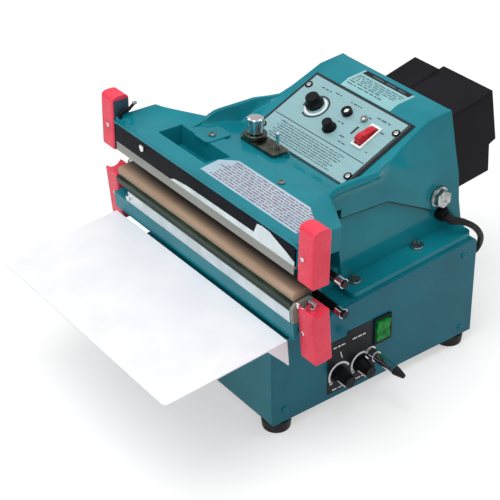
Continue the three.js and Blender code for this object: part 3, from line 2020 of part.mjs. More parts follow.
const glandEnd = [glandX + glandLength + seat, ...deckToBase(glandV, glandW)];
const rear = baseDepth + grommetDepth + seat;
const leadReach = rear + 3 * leadRadius;
const leadWay = leadWayShare.map(([back, out, down]) => [
  glandEnd[0] + down * (grommetX - glandEnd[0]) + out * leadBow,
  glandEnd[1] + back * (leadReach - glandEnd[1]),
  glandEnd[2] + down * (grommetZ - glandEnd[2]),
]);
add(
  base,
  "cable_lead",
  lead([
    glandEnd,
    [glandEnd[0] + 2 * leadRadius, glandEnd[1] + leadRadius / 2, glandEnd[2] - leadRadius / 2],
    ...leadWay,
    [grommetX, rear + 2 * leadRadius, grommetZ],
    [grommetX, rear, grommetZ],
  ]),
  "black",
  "rubber",
);
add(base, "lead_grommet", alongY(grommet(), grommetX, baseDepth, grommetZ), "rubber", "rubber");

// The outline's middle goes over the origin, with the feet on the floor.
machine.updateMatrixWorld(true);
const bounds = new THREE.Box3().setFromObject(machine, true);
const middle = bounds.getCenter(new THREE.Vector3());
machine.position.set(0, -middle.y, -bounds.min.z);

export default machine;
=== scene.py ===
# %% [markdown]
# # A bench heat sealer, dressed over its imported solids
# The machine closes and welds plastic bags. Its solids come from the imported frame, one object for
# each piece, already in place. This lesson gives each piece its finish and adds the small parts
# that the solids leave out. Everything is in metres, and sizes are written in millimetres times MM.

# %% The frame
import math
import random

import bmesh
import bpy
from mathutils import Matrix, Vector
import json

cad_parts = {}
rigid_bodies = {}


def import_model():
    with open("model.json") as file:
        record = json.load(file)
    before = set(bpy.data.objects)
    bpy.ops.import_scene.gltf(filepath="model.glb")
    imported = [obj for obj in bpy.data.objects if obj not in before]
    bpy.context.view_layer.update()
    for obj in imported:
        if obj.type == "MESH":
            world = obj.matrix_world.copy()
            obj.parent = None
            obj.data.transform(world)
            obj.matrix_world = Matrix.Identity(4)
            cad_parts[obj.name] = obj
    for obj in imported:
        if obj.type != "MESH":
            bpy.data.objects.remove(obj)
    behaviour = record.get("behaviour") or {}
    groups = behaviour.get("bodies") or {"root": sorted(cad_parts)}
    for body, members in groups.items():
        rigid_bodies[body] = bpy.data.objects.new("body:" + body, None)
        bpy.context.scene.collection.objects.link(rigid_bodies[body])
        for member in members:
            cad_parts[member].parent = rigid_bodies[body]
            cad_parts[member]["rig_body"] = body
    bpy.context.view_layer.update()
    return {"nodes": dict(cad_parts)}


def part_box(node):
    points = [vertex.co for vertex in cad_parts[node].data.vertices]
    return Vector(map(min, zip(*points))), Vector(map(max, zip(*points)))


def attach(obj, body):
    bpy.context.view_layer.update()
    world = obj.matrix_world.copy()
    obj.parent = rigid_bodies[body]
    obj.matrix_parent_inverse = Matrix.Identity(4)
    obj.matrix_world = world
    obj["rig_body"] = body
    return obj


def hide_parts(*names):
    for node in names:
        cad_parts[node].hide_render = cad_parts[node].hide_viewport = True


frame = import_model()
nodes = frame["nodes"]
MM = 0.001
print(len(nodes), "nodes loaded")

# %% [markdown]
# The machine is drawn in four frames, one inside the other: the base stands level, the deck on it
# slopes four degrees down to the operator, the arm stands six degrees open on its pivot, and the
# control panel leans back on the arm. A small part is easiest to model flat, at the middle of the
# world. So each frame gets a matrix, and a finished part is carried to its place by one of them.
# The turns named at the end stand a flat part up, to face the operator or one of the sides.

# %% Places on the machine
base_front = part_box("base_shell")[0].y / MM
FOOT_HEIGHT = 14
BASE_HALF = 131
DECK_LEVEL, DECK_SLOPE = 107, 4
PIVOT = Vector((0, 256.4, 56.2))
ARM_OPEN = 6
PANEL_FOOT, PANEL_RUN, PANEL_RISE = (0, 137.8, 96.4), 92.1, 43.7


def turned_at(place, degrees=0, axis="X"):
    return Matrix.Translation(Vector(place) * MM) @ Matrix.Rotation(math.radians(degrees), 4, axis)


on_base = turned_at((0, base_front, FOOT_HEIGHT))
on_deck = on_base @ turned_at((0, 0, DECK_LEVEL), DECK_SLOPE)
on_arm = on_deck @ turned_at(PIVOT, -ARM_OPEN) @ turned_at(-PIVOT)
on_panel = on_arm @ turned_at(PANEL_FOOT, math.degrees(math.atan2(PANEL_RISE, PANEL_RUN)))
# A face that looks to the right has x to the back, y up and z to the right.
TO_RIGHT = Matrix(((0, 0, 1, 0), (1, 0, 0, 0), (0, 1, 0, 0), (0, 0, 0, 1)))
on_side = on_base @ turned_at((BASE_HALF, 0, 0)) @ TO_RIGHT
# A screw head may be turned any way, so only its z axis counts, which points left here.
TO_LEFT = Matrix.Rotation(math.radians(-90), 4, "Y")
# A face that looks to the operator has x to the right, y up and z towards the operator.
TO_FRONT = Matrix.Rotation(math.radians(90), 4, "X")
print("panel origin", [round(v, 4) for v in on_panel.translation])

# %% [markdown]
# These helpers work as a hand does: one object is put in the scene and picked out, and then a tool
# or a modifier works on it. A piece is smooth where its faces turn by less than an angle.

# %% Working by hand


def show(name, data):
    piece = bpy.data.objects.new(name, data)
    bpy.context.scene.collection.objects.link(piece)
    return piece


def alone(*pieces):
    bpy.ops.object.select_all(action="DESELECT")
    for piece in pieces:
        piece.select_set(True)
    bpy.context.view_layer.objects.active = pieces[0]


def finish_with(piece, kind, **settings):
    alone(piece)
    modifier = piece.modifiers.new(kind, kind)
    for name, value in settings.items():
        setattr(modifier, name, value)
    bpy.ops.object.modifier_apply(modifier=modifier.name)


def smooth(piece, degrees):
    alone(piece)
    bpy.ops.object.shade_smooth_by_angle(angle=math.radians(degrees))


def paint(piece, finish):
    piece.data.materials.clear()
    piece.data.materials.append(finish)


# %% [markdown]
# The camera stands where the photographer stood. Its place and lens were worked out from straight
# edges of the machine, so it is set by numbers, with its three axes as the columns of its matrix.

# %% Camera
PHOTO_PIXELS, FOCAL_PIXELS, SENSOR_WIDTH = 500, 1465.6, 36
camera_place = on_base @ (Vector((1096.8, -728.22, 1011.4)) * MM)
camera_right = Vector((0.5971, 0.802, -0.0168)).normalized()
camera_back = Vector((0.6782, -0.4934, 0.5446)).normalized()
camera_up = camera_back.cross(camera_right).normalized()
camera_right = camera_up.cross(camera_back)
lens = bpy.data.cameras.new("photographer")
lens.sensor_width = SENSOR_WIDTH
lens.lens = FOCAL_PIXELS * SENSOR_WIDTH / PHOTO_PIXELS
lens.clip_start, lens.clip_end = 0.05, 50
camera = show("photographer", lens)
camera.matrix_world = Matrix.Translation(camera_place) @ Matrix(
    (camera_right, camera_up, camera_back)
).transposed().to_4x4()
bpy.context.scene.camera = camera
bpy.context.scene.view_settings.view_transform = "Standard"
print("lens", round(lens.lens, 1), "mm")

# %% [markdown]
# The mains lead leaves its gland at the right cheek, bows out and back, and goes down into a
# grommet in the rear wall of the base. Nothing of it is free to lie about: it is 0.1 m of stiff
# rubber lead between two fixed ends. Its route repeats the points of the solid, on the same smooth
# curve.

# %% Mains lead
gland_end = Vector((111.966, 258.63, 155.66))
out_of_gland = Vector((7.2, 1.8, -1.8))
grommet_top = Vector((112, 306.1, 92))
in_grommet = [Vector((112, 302.5, 92)), Vector((112, 295.3, 92))]
LEAD_THICKNESS = 7.2
LEAD_BOW = 15
# Each station says what share of the way back, of the bow outwards and of the way down is done.
lead_stations = (
    (0.24, 0.77, 0.074), (0.535, 1, 0.215), (0.81, 0.935, 0.45), (0.98, 0.575, 0.7), (1, 0.15, 0.94)
)
drop = grommet_top - gland_end
lead_points = [gland_end, gland_end + out_of_gland]
for back, out, down in lead_stations:
    station = Vector((down * drop.x + out * LEAD_BOW, back * drop.y, down * drop.z))
    lead_points.append(gland_end + station)
lead_points += in_grommet


def smooth_line(points, steps):
    """A line through the points whose bends are even, however far apart the points are."""
    ends = [2 * points[0] - points[1], *points, 2 * points[-1] - points[-2]]
    line = []
    for four in zip(ends, ends[1:], ends[2:], ends[3:]):
        at = [0.0]
        for near, far in zip(four, four[1:]):
            at.append(at[-1] + (far - near).length ** 0.5)
        for step in range(steps):
            t = at[1] + (at[2] - at[1]) * step / steps
            stage = four
            for low, high in ((0, 1), (0, 2), (1, 2)):
                stage = [
                    near.lerp(far, (t - at[i + low]) / (at[i + high] - at[i + low]))
                    for i, (near, far) in enumerate(zip(stage, stage[1:]))
                ]
            line.append(stage[0])
    return [*line, points[-1]]


lead_line = [on_base @ (point * MM) for point in smooth_line(lead_points, 8)]


def tube(name, line, radii_mm, body):
    """A round tube along a line. The bevel is 1 mm, so each point's radius counts millimetres."""
    curve = bpy.data.curves.new(name, "CURVE")
    curve.dimensions = "3D"
    curve.bevel_depth = MM
    curve.bevel_resolution = 5
    curve.use_fill_caps = True
    spline = curve.splines.new("POLY")
    spline.points.add(len(line) - 1)
    for point, place, radius in zip(spline.points, line, radii_mm):
        point.co = (*place, 1)
        point.radius = radius
    piece = show(name, curve)
    alone(piece)
    bpy.ops.object.convert(target="MESH")
    smooth(piece, 40)
    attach(piece, body)
    return piece


lead = tube("mains_lead", lead_line, [LEAD_THICKNESS / 2] * len(lead_line), "base")
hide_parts("cable_lead")
# A ribbed sleeve keeps the lead from kinking at the gland. Every other ring of it is a rib.
SLEEVE_REACH, SLEEVE_RADIUS, TAPER, RIB = 21, 5.6, 1.5, 0.5
sleeve_line = [point for point in lead_line if (point - lead_line[0]).length < SLEEVE_REACH * MM]
rings = len(sleeve_line)
sleeve_radii = [SLEEVE_RADIUS - TAPER * i / rings - RIB * (i % 2) for i in range(rings)]
sleeve = tube("lead_sleeve", sleeve_line, sleeve_radii, "base")

# %% [markdown]
# Every finish below is built from shader nodes. One function writes a colour from its hex value,
# because Blender works with linear light, and one adds a node with its settings and links.

# %% Colours and nodes


def colour(code):
    channels = [int(code[i : i + 2], 16) / 255 for i in (0, 2, 4)]
    linear = [c / 12.92 if c <= 0.04045 else ((c + 0.055) / 1.055) ** 2.4 for c in channels]
    return (*linear, 1.0)


def node(tree, kind, settings=None, **links):
    """A link is named for its input: Vector=..., or i0=... where a node numbers its inputs."""
    made = tree.nodes.new("ShaderNode" + kind)
    for name, value in (settings or {}).items():
        if not isinstance(name, str) or name in made.inputs:
            made.inputs[name].default_value = value
        else:
            setattr(made, name, value)
    for name, source in links.items():
        tree.links.new(source, made.inputs[int(name[1:]) if name[0] == "i" else name])
    return made


def start_finish(name, **shader):
    finish = bpy.data.materials.new(name)
    finish.use_nodes = True
    tree = finish.node_tree
    bsdf = tree.nodes["Principled BSDF"]
    for socket, value in shader.items():
        bsdf.inputs[socket.replace("_", " ")].default_value = value
    place = node(tree, "TexCoord").outputs["Object"]
    return finish, tree, bsdf, place


# %% [markdown]
# These patterns come back in most finishes. A blend mixes two colours by a factor. Grains are a
# noise with a size in millimetres, and clouds a softer one. A relief turns a pattern into bumps. A
# measured place reads the surface in one of the machine's frames, in millimetres, so a pattern can
# follow that part's axes. A wave texture of scale 1 repeats every 0.314 units, so the width of
# bands allows for that.

# %% Patterns that many finishes share
WAVE_REPEAT = 0.314


def blend(tree, factor, first, second):
    mix = node(tree, "Mix", {"data_type": "RGBA"})
    tree.links.new(factor, mix.inputs[0])
    for socket, value in ((6, first), (7, second)):
        if isinstance(value, str):
            mix.inputs[socket].default_value = colour(value)
        else:
            tree.links.new(value, mix.inputs[socket])
    return mix.outputs[2]


def noise(tree, place, scale, detail):
    settings = {"Scale": scale, "Detail": detail}
    return node(tree, "TexNoise", settings, Vector=place).outputs["Fac"]


def grains(tree, place, size_mm, detail):
    return noise(tree, place, 1 / (size_mm * MM), detail)


def spread(tree, factor, old_low, old_high, low=0.0, high=1.0):
    ramp = {"From Min": old_low, "From Max": old_high, "To Min": low, "To Max": high}
    return node(tree, "MapRange", ramp, Value=factor).outputs["Result"]


def clouds(tree, place, size_mm):
    return spread(tree, grains(tree, place, size_mm, 3.0), 0.35, 0.65)


def relief(tree, bsdf, height, strength, depth_mm):
    bump = node(tree, "Bump", {"Strength": strength, "Distance": depth_mm * MM}, Height=height)
    tree.links.new(bump.outputs["Normal"], bsdf.inputs["Normal"])


def measured(tree, place, frame_matrix, scale=(1, 1, 1)):
    settings = {
        "vector_type": "TEXTURE",
        "Location": frame_matrix.translation,
        "Rotation": frame_matrix.to_euler(),
        "Scale": [MM * s for s in scale],
    }
    return node(tree, "Mapping", settings, Vector=place).outputs["Vector"]


def rough_between(tree, bsdf, factor, low, high):
    tree.links.new(spread(tree, factor, 0.0, 1.0, low, high), bsdf.inputs["Roughness"])


def colour_between(tree, bsdf, factor, first, second):
    tree.links.new(blend(tree, factor, first, second), bsdf.inputs["Base Color"])


# %% [markdown]
# The base and the castings are sprayed with gloss enamel and baked. Baked enamel is smooth and wet
# to look at, so its roughness is low, and only its mirror shine is held back a little. It dries
# with a faint skin like an orange's, about 3 mm from bump to bump, and its colour is a little
# deeper where it lies thick. The two side panels get a darker copy of the same enamel: painted
# shade for the faces that turn away from the lamp.

# %% Teal enamel
PEEL = 3


def enamel(name, base, deep):
    finish, tree, bsdf, place = start_finish(name, IOR=1.5, Specular_IOR_Level=0.2)
    thick = clouds(tree, place, 60)
    colour_between(tree, bsdf, thick, base, deep)
    rough_between(tree, bsdf, clouds(tree, place, 18), 0.1, 0.16)
    relief(tree, bsdf, grains(tree, place, PEEL, 1.0), 0.05, 0.2)
    return finish


teal_enamel = enamel("baked_teal_enamel", "158492", "0E7886")
# The same enamel painted darker for the side panels: painted shade.
shaded_side_enamel = enamel("teal_enamel_painted_shade_sides", "086C7F", "066375")
print("enamel peel", PEEL, "mm")

# %% [markdown]
# The tray is steel sheet with white powder coat. The powder melts to a skin that is softer to look
# at than enamel, with a texture of about 1.5 mm.

# %% White powder coat
white_coat, tree, bsdf, place = start_finish("white_powder_coat", Coat_Weight=0.1)
colour_between(tree, bsdf, clouds(tree, place, 45), "F4F4F9", "EDEFF5")
rough_between(tree, bsdf, clouds(tree, place, 12), 0.38, 0.48)
relief(tree, bsdf, grains(tree, place, 1.5, 1.0), 0.1, 0.1)

# %% [markdown]
# The bright parts are of five metals. The knob, pin and plug are chromed brass: a mirror with faint
# finger marks. The pivot bolts and the screws of the castings are zinc plated: greyer, with a soft
# spangle. The rail is aluminium that was drawn through a die, so fine lines run along it. The plate
# under the knob is nickel, plated dark, and plain steel was ground. All five are metallic to the
# full. The two rods are steel with a black oxide, which hides some of the metal. Draw lines are
# finer than a tenth of a millimetre, and are drawn 0.8 mm apart to show.

# %% Metals
DRAW_LINES = 0.8


def metal(name, light, dark, low, high, marks_mm, grain=None):
    finish, tree, bsdf, place = start_finish(name, Metallic=1.0)
    marks = clouds(tree, place, marks_mm)
    colour_between(tree, bsdf, marks, light, dark)
    rough_between(tree, bsdf, marks, low, high)
    if grain:
        along = node(tree, "Mapping", {"Scale": grain}, Vector=place).outputs["Vector"]
        relief(tree, bsdf, grains(tree, along, DRAW_LINES, 2.0), 0.25, 0.05)
    return finish


chrome = metal("polished_chrome", "E2E4E6", "D2D4D6", 0.05, 0.12, 9)
zinc = metal("zinc_plating", "B4B8B8", "7C7E78", 0.14, 0.3, 3.5)
drawn_aluminium = metal("drawn_aluminium", "DDE8E8", "C6D2D2", 0.28, 0.42, 30, (0.01, 1, 1))
ground_steel = metal("ground_steel", "B4B8BC", "989CA0", 0.3, 0.45, 12, (1, 0.05, 1))
dark_nickel = metal("dark_nickel_plating", "6E7066", "46483F", 0.08, 0.2, 14)
black_oxide, tree, bsdf, place = start_finish("black_oxide_steel", Metallic=0.6)
colour_between(tree, bsdf, clouds(tree, place, 8), "141519", "202226")
rough_between(tree, bsdf, clouds(tree, place, 4), 0.18, 0.34)

# %% [markdown]
# The black parts differ in how they take the light. Knobs and bezels are moulded in ABS, in a tool
# whose spark-eroded walls leave a fine grain. The rear cover is sheet with a satin lacquer. The
# insulating strip of the upper jaw is phenolic laminate, smooth and nearly black, and that of the
# lower jaw is a dark green glass laminate. The feet and the lead are rubber, dull and a little
# dusty. Two small parts are grey.

# %% Black plastics, lacquer and rubber


def dull(name, base, light, low, high, grain_mm, strength, cloud_mm=20, **shader):
    finish, tree, bsdf, place = start_finish(name, **shader)
    colour_between(tree, bsdf, clouds(tree, place, cloud_mm), base, light)
    rough_between(tree, bsdf, clouds(tree, place, cloud_mm / 2), low, high)
    relief(tree, bsdf, grains(tree, place, grain_mm, 2.0), strength, 0.08)
    return finish


def shine(amount):
    return {"Specular_IOR_Level": amount}


black_abs = dull("moulded_black_abs", "101013", "17171B", 0.28, 0.42, 0.7, 0.2, **shine(0.15))
black_lacquer = dull(
    "satin_black_lacquer", "17151A", "1E1C21", 0.4, 0.5, 1.4, 0.1, 50, **shine(0.07)
)
laminate = dull("phenolic_laminate", "0E1018", "161A22", 0.26, 0.36, 1.0, 0.05, 25, **shine(0.04))
green_laminate = dull(
    "dark_glass_laminate", "16261D", "2A4034", 0.3, 0.42, 1.0, 0.1, 30, **shine(0.25)
)
rubber = dull("black_rubber", "121214", "1A1A1C", 0.5, 0.7, 0.9, 0.2, **shine(0.3))
pale_grey = dull("grey_enamelled_steel", "7C867E", "8E968E", 0.3, 0.42, 1.2, 0.1)
cap_liner_board = dull("grey_pressboard", "2C4450", "355260", 0.45, 0.6, 1.2, 0.2)

# %% [markdown]
# The end caps are soft red PVC, dipped: a flat strong colour with faint flow clouds and a soft
# gloss. The keys and lamps are clear plastics, dyed through, so they are glossier and deeper, and
# each is given a faint painted glow in its own colour.

# %% Red moulding, switches and lenses
red_pvc, tree, bsdf, place = start_finish("dipped_red_pvc", IOR=1.5, Specular_IOR_Level=0.35)
colour_between(tree, bsdf, clouds(tree, place, 25), "FA4660", "EE3A54")
rough_between(tree, bsdf, clouds(tree, place, 8), 0.26, 0.4)
relief(tree, bsdf, grains(tree, place, 5, 0.0), 0.02, 0.2)


def lens_moulding(name, base, deep, painted_glow):
    finish, tree, bsdf, place = start_finish(name, IOR=1.58, Specular_IOR_Level=0.1)
    body = blend(tree, clouds(tree, place, 7), base, deep)
    tree.links.new(body, bsdf.inputs["Base Color"])
    # A faint emission in the body's colour: a painted glow.
    tree.links.new(body, bsdf.inputs["Emission Color"])
    bsdf.inputs["Emission Strength"].default_value = painted_glow
    rough_between(tree, bsdf, clouds(tree, place, 3), 0.12, 0.2)
    return finish


green_lens = lens_moulding("green_polycarbonate", "026226", "0A9A3C", 0.05)
red_lens = lens_moulding("red_polycarbonate", "B8202C", "D23844", 0.04)
milky_lens = lens_moulding("milky_acrylic", "E8E6E0", "F4F2EC", 0.08)
white_nylon = dull("white_nylon", "ECEDE9", "F3F3F0", 0.35, 0.48, 0.8, 0.1)

# %% [markdown]
# The sealing bar and the upper lip are wrapped in PTFE-coated glass cloth. Glass threads cross
# every half millimetre; they are drawn 1.4 mm apart, because the real weave is too fine to show.
# The heat has browned the lower cloth in long streaks. Towards the back, where the upper jaw shades
# it, both cloths are painted darker: painted shade. The upper cloth is still grey. The coating
# gives both a dull sheen.

# %% PTFE glass cloth
WEAVE = 1.4
# Painted shade under the upper jaw: where it starts and where it is full, in mm back on the deck.
SHADE_STARTS, SHADE_FULL = 13.0, 27.0
STREAKS = (0.012, 0.16, 0.16)


def cloth(name, dark, light, shade_colour, thread):
    finish, tree, bsdf, place = start_finish(name, Sheen_Weight=0.15, IOR=1.38)
    flat_place = measured(tree, place, on_deck)
    streak_place = node(tree, "Mapping", {"Scale": STREAKS}, Vector=flat_place).outputs["Vector"]
    streaks = noise(tree, streak_place, 1.0, 4.0)
    browning_and_shade = blend(tree, streaks, dark, light)
    # Painted shade: towards the back the browned colour is blended to a darker one.
    depth = node(tree, "SeparateXYZ", Vector=flat_place).outputs["Y"]
    back_shade = spread(tree, depth, SHADE_STARTS, SHADE_FULL)
    browning_and_shade = blend(tree, back_shade, browning_and_shade, shade_colour)
    threads = []
    bands = {"wave_type": "BANDS", "Scale": WAVE_REPEAT * 2 / WEAVE}
    for direction in ("X", "Y"):
        settings = {**bands, "bands_direction": direction}
        threads.append(node(tree, "TexWave", settings, Vector=flat_place).outputs["Fac"])
    crossing = node(tree, "Math", {"operation": "MULTIPLY"}, i0=threads[0], i1=threads[1])
    weave = crossing.outputs["Value"]
    woven = spread(tree, weave, 0.0, 1.0, 0.0, 0.25)
    colour_between(tree, bsdf, woven, browning_and_shade, thread)
    rough_between(tree, bsdf, streaks, 0.3, 0.55)
    relief(tree, bsdf, weave, 0.25, 0.12)
    return finish


# The third colour is the painted shade towards the back.
glass_cloth = cloth("browned_glass_cloth", "967A62", "CDB096", "4A3E34", "5E4838")
grey_cloth = cloth("grey_glass_cloth", "7E807A", "A6A69E", "7E807A", "62625C")
print("weave drawn at", WEAVE, "mm")

# %% [markdown]
# Inside the machine the magnet coil is wound with lacquered copper wire, its turns 1 mm apart, the
# transformer and magnet cores are stacked from steel sheets, and the timer sits on a green circuit
# board with copper tracks under the lacquer.

# %% Finishes inside the machine


def banded(name, direction, pitch_mm, low, high, strength, depth_mm, **shader):
    finish, tree, bsdf, place = start_finish(name, **shader)
    settings = {"bands_direction": direction, "Scale": WAVE_REPEAT / (pitch_mm * MM)}
    bands = node(tree, "TexWave", settings, Vector=place).outputs["Fac"]
    colour_between(tree, bsdf, bands, low, high)
    relief(tree, bsdf, bands, strength, depth_mm)
    return finish


copper, steel = {"Metallic": 0.6, "Roughness": 0.35}, {"Metallic": 0.8, "Roughness": 0.45}
winding = banded("lacquered_copper_wire", "Z", 1, "7A3E1C", "C07A44", 0.5, 0.3, **copper)
core_sheets = banded("stacked_core_sheets", "X", 1.2, "4A4E54", "8C9096", 0.4, 0.1, **steel)
board, tree, bsdf, place = start_finish("green_circuit_board", Coat_Weight=0.4, Roughness=0.4)
layout = {"Scale": 1 / (12 * MM), "Mortar Size": 0.06, "Brick Width": 0.7}
tracks = node(tree, "TexBrick", layout, Vector=place).outputs["Fac"]
colour_between(tree, bsdf, tracks, "1E5A38", "3C7A4C")
relief(tree, bsdf, tracks, 0.2, 0.05)

# %% [markdown]
# The control panel is aluminium foil, brushed from side to side and printed in pale blue-green ink.
# Labels are coated paper, and marks are screen-printed ink, which is flat and even but for a little
# wear. The lines of small print are left as rows of plain dashes, with no words.

# %% Printed foil, paper and ink
BRUSH_STRETCH = (40, 1, 1)
foil, tree, bsdf, place = start_finish("printed_brushed_foil", Metallic=0.25)
panel_place = measured(tree, place, on_panel, BRUSH_STRETCH)
brushing = noise(tree, panel_place, 1.0, 3.0)
colour_between(tree, bsdf, brushing, "86B0B5", "9EC4C8")
rough_between(tree, bsdf, brushing, 0.35, 0.5)
relief(tree, bsdf, brushing, 0.12, 0.03)
paper = dull("coated_paper", "A2BCCC", "B2C8D4", 0.4, 0.5, 1.2, 0.03, 30)
pale_foil = dull("pale_printed_foil", "86BABF", "98C8CC", 0.35, 0.5, 1.2, 0.03, 30)
black_plate = dull(
    "black_printed_plate", "101016", "16161D", 0.3, 0.42, 1.0, 0.05, 30, **shine(0.2)
)


def ink(name, base, worn):
    return dull(name, base, worn, 0.4, 0.55, 1.0, 0.03, 6)


black_ink = ink("black_screen_ink", "141A22", "1C242C")
white_ink = ink("white_screen_ink", "E6E8EA", "F2F4F4")
grey_ink = ink("grey_screen_ink", "3C545C", "4C666E")
mauve_ink = ink("mauve_screen_ink", "7A5468", "8A6476")

# %% [markdown]
# The solids give the true form, but their edges are knife sharp. Real castings and sheets have
# small radii that catch the light. So each solid that shows gets a skin: a copy of its mesh, with
# its flat faces merged, its edges bevelled by the real radius and its normals weighted, which
# replaces it. An edge counts where its faces turn by more than an angle.

# %% Skins
SAME_POINT = 0.005
SAME_PLANE = 0.6


def bevelled(piece, radius_mm, turn, segments=2, **more):
    edges = {"width": radius_mm * MM, "segments": segments, "limit_method": "ANGLE"}
    finish_with(piece, "BEVEL", angle_limit=math.radians(turn), **edges, **more)


def skin_over(name, finish, radius_mm, turn):
    solid = nodes[name]
    skin = show(name + "_skin", solid.data.copy())
    alone(skin)
    bpy.ops.object.mode_set(mode="EDIT")
    bpy.ops.mesh.select_all(action="SELECT")
    bpy.ops.mesh.remove_doubles(threshold=SAME_POINT * MM)
    bpy.ops.mesh.dissolve_limited(angle_limit=math.radians(SAME_PLANE))
    bpy.ops.object.mode_set(mode="OBJECT")
    bevelled(skin, radius_mm, turn, use_clamp_overlap=True)
    smooth(skin, turn)
    finish_with(skin, "WEIGHTED_NORMAL", keep_sharp=True, weight=80)
    paint(skin, finish)
    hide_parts(name)
    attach(skin, solid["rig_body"])
    return skin


# %% [markdown]
# Each row has a finish, the radius of the edges in millimetres and the angle from which an edge is
# bevelled. Castings and dipped caps are round, cut and stamped parts nearly sharp. The two rocker
# switches get no skin, because they are modelled anew further down.

# %% Skins of the main pieces
SKINS = (
    (teal_enamel, 1.2, 34, "arm_casting"),
    (teal_enamel, 1.0, 34, "frame_casting"),
    (teal_enamel, 0.7, 34, "base_shell"),
    # The side panels take the enamel with painted shade.
    (shaded_side_enamel, 0.5, 34, "side_panel_right side_panel_left"),
    (black_lacquer, 0.8, 20, "rear_cover"),
    (white_coat, 0.35, 34, "work_tray"),
    (red_pvc, 1.2, 34, "upper_cap_right upper_cap_left lower_cap_right lower_cap_left"),
    (laminate, 0.25, 34, "upper_jaw_strip"),
    (grey_cloth, 0.4, 34, "upper_sealing_lip"),
    (glass_cloth, 0.8, 34, "lower_sealing_bar"),
    (green_laminate, 0.6, 34, "lower_insulator"),
    (drawn_aluminium, 0.5, 34, "lower_jaw_rail"),
    (foil, 0.2, 34, "control_panel"),
    (dark_nickel, 0.5, 34, "adjuster_plate adjuster_base"),
    (chrome, 0.35, 30, "adjuster_knob"),
    (chrome, 0.3, 34, "guide_pin"),
    (black_abs, 0.5, 30, "timer_knob"),
    (black_abs, 0.4, 30, "fuse_cap"),
    (milky_lens, 0.3, 30, "power_lamp"),
    (milky_lens, 0.2, 30, "seal_lamp"),
    (black_abs, 0.5, 30, "dial_knob_front dial_knob_rear"),
    (chrome, 0.3, 34, "plug_collar"),
    (chrome, 0.4, 34, "plug_body"),
    (rubber, 0.4, 34, "plug_boot"),
    (zinc, 0.6, 30, "pivot_bolt_right pivot_bolt_left"),
    (black_abs, 0.4, 30, "cable_gland"),
    (black_oxide, 0.4, 30, "lower_cloth_rod upper_cloth_rod"),
    (rubber, 0.8, 34, "foot_front_left foot_front_right foot_rear_left foot_rear_right"),
    (ground_steel, 0.4, 34, "bottom_plate"),
)
skins = {}
for finish, radius, turn, names in SKINS:
    for name in names.split():
        skins[name] = skin_over(name, finish, radius, turn)
print(len(skins), "skins,", sum(len(s.data.polygons) for s in skins.values()), "faces")

# %% [markdown]
# What is closed in or is already round keeps its solid. Only the finish on its slot is changed.

# %% Finishes of the solids that stay
KEPT = (
    (zinc, "dial_potentiometer_front dial_potentiometer_rear timer_potentiometer return_spring"),
    (chrome, "foot_switch_socket"),
    (board, "timer_board"),
    (core_sheets, "magnet_frame transformer"),
    (winding, "magnet_coil"),
    (ground_steel, "magnet_plunger pivot_shaft"),
    (black_abs, "fuse_holder"),
    (rubber, "lead_grommet"),
)
for finish, names in KEPT:
    for name in names.split():
        nodes[name].material_slots[0].material = finish
paint(lead, rubber)
paint(sleeve, rubber)

# %% [markdown]
# Printed marks and labels are thin: ink stands a tenth of a millimetre on its plate. A flat curve
# with closed outlines fills itself, leaves out what lies inside as a hole, and becomes a mesh. So
# each print is drawn as outlines, in millimetres, on one of the frames. Rows of small print become
# dashes of uneven length, which say nothing.

# %% Drawing prints
SAME_CORNER = 0.002
letters = random.Random(11)


def circle(x, y, radius, start=0, end=360, steps=36):
    last = end - start < 360
    turns = [math.radians(start + (end - start) * i / steps) for i in range(steps + last)]
    return [(x + radius * math.cos(a), y + radius * math.sin(a)) for a in turns]


def ring(x, y, outer, inner, start=0, end=360):
    if end - start == 360:
        return [circle(x, y, outer), circle(x, y, inner)]
    return [circle(x, y, outer, start, end) + circle(x, y, inner, start, end)[::-1]]


def bar(left, low, right, high):
    return [(left, low), (right, low), (right, high), (left, high)]


def stroke(start, end, width):
    start, end = Vector(start), Vector(end)
    side = (end - start).normalized().orthogonal() * width / 2
    return [tuple(p) for p in (start + side, end + side, end - side, start - side)]


def words(left, right, level, height, longest=7):
    """A row of dashes as long as words, a little uneven in height and in the gaps between them."""
    dashes = []
    while left < right - height:
        long = min(letters.uniform(0.25, 1) * longest * height, right - left)
        tall = height * letters.uniform(0.55, 0.8)
        dashes.append(bar(left, level - tall / 2, left + long, level + tall / 2))
        left += long + height * letters.uniform(0.5, 0.9)
    return dashes


def place_on(piece, frame_matrix, finish, body):
    piece.data.transform(frame_matrix)
    paint(piece, finish)
    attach(piece, body)
    return piece


def draw(name, outlines, frame_matrix, level, finish, body, slot, thick=0.12):
    """Fills the outlines, makes them a slab from the level upwards, and lays it on the frame."""
    curve = bpy.data.curves.new(name, "CURVE")
    curve.dimensions = "2D"
    curve.fill_mode = "BOTH"
    curve.extrude = thick / 2 * MM
    for outline in outlines:
        spline = curve.splines.new("POLY")
        spline.points.add(len(outline) - 1)
        for point, (x, y) in zip(spline.points, outline):
            point.co = (x * MM, y * MM, 0, 1)
        spline.use_cyclic_u = True
    piece = show(name, curve)
    alone(piece)
    bpy.ops.object.convert(target="MESH")
    bpy.ops.object.mode_set(mode="EDIT")
    bpy.ops.mesh.select_all(action="SELECT")
    bpy.ops.mesh.remove_doubles(threshold=SAME_CORNER * MM)
    bpy.ops.mesh.normals_make_consistent(inside=False)
    bpy.ops.object.mode_set(mode="OBJECT")
    middle = turned_at((0, 0, level + thick / 2))
    return place_on(piece, frame_matrix @ middle, finish, body)


# %% [markdown]
# The instrument panel is a foil plate with a black printed border, wider on the right. Under it
# lies a black rubber sheet that shows past its edges, most on the right: partly the edge of a
# rubber seal, partly painted shadow of the recess the panel sits in. A line parts the controls
# from the rows of small print below. The scale round the timer is a dark ring with a white one
# inside it.

# %% Panel prints
PANEL_TOP = 1.45
TIMER_AT = (-39.5, 64.5)


def print_panel(name, outlines, tone):
    draw(name, outlines, on_panel, PANEL_TOP, tone, "arm", "panel_foil")
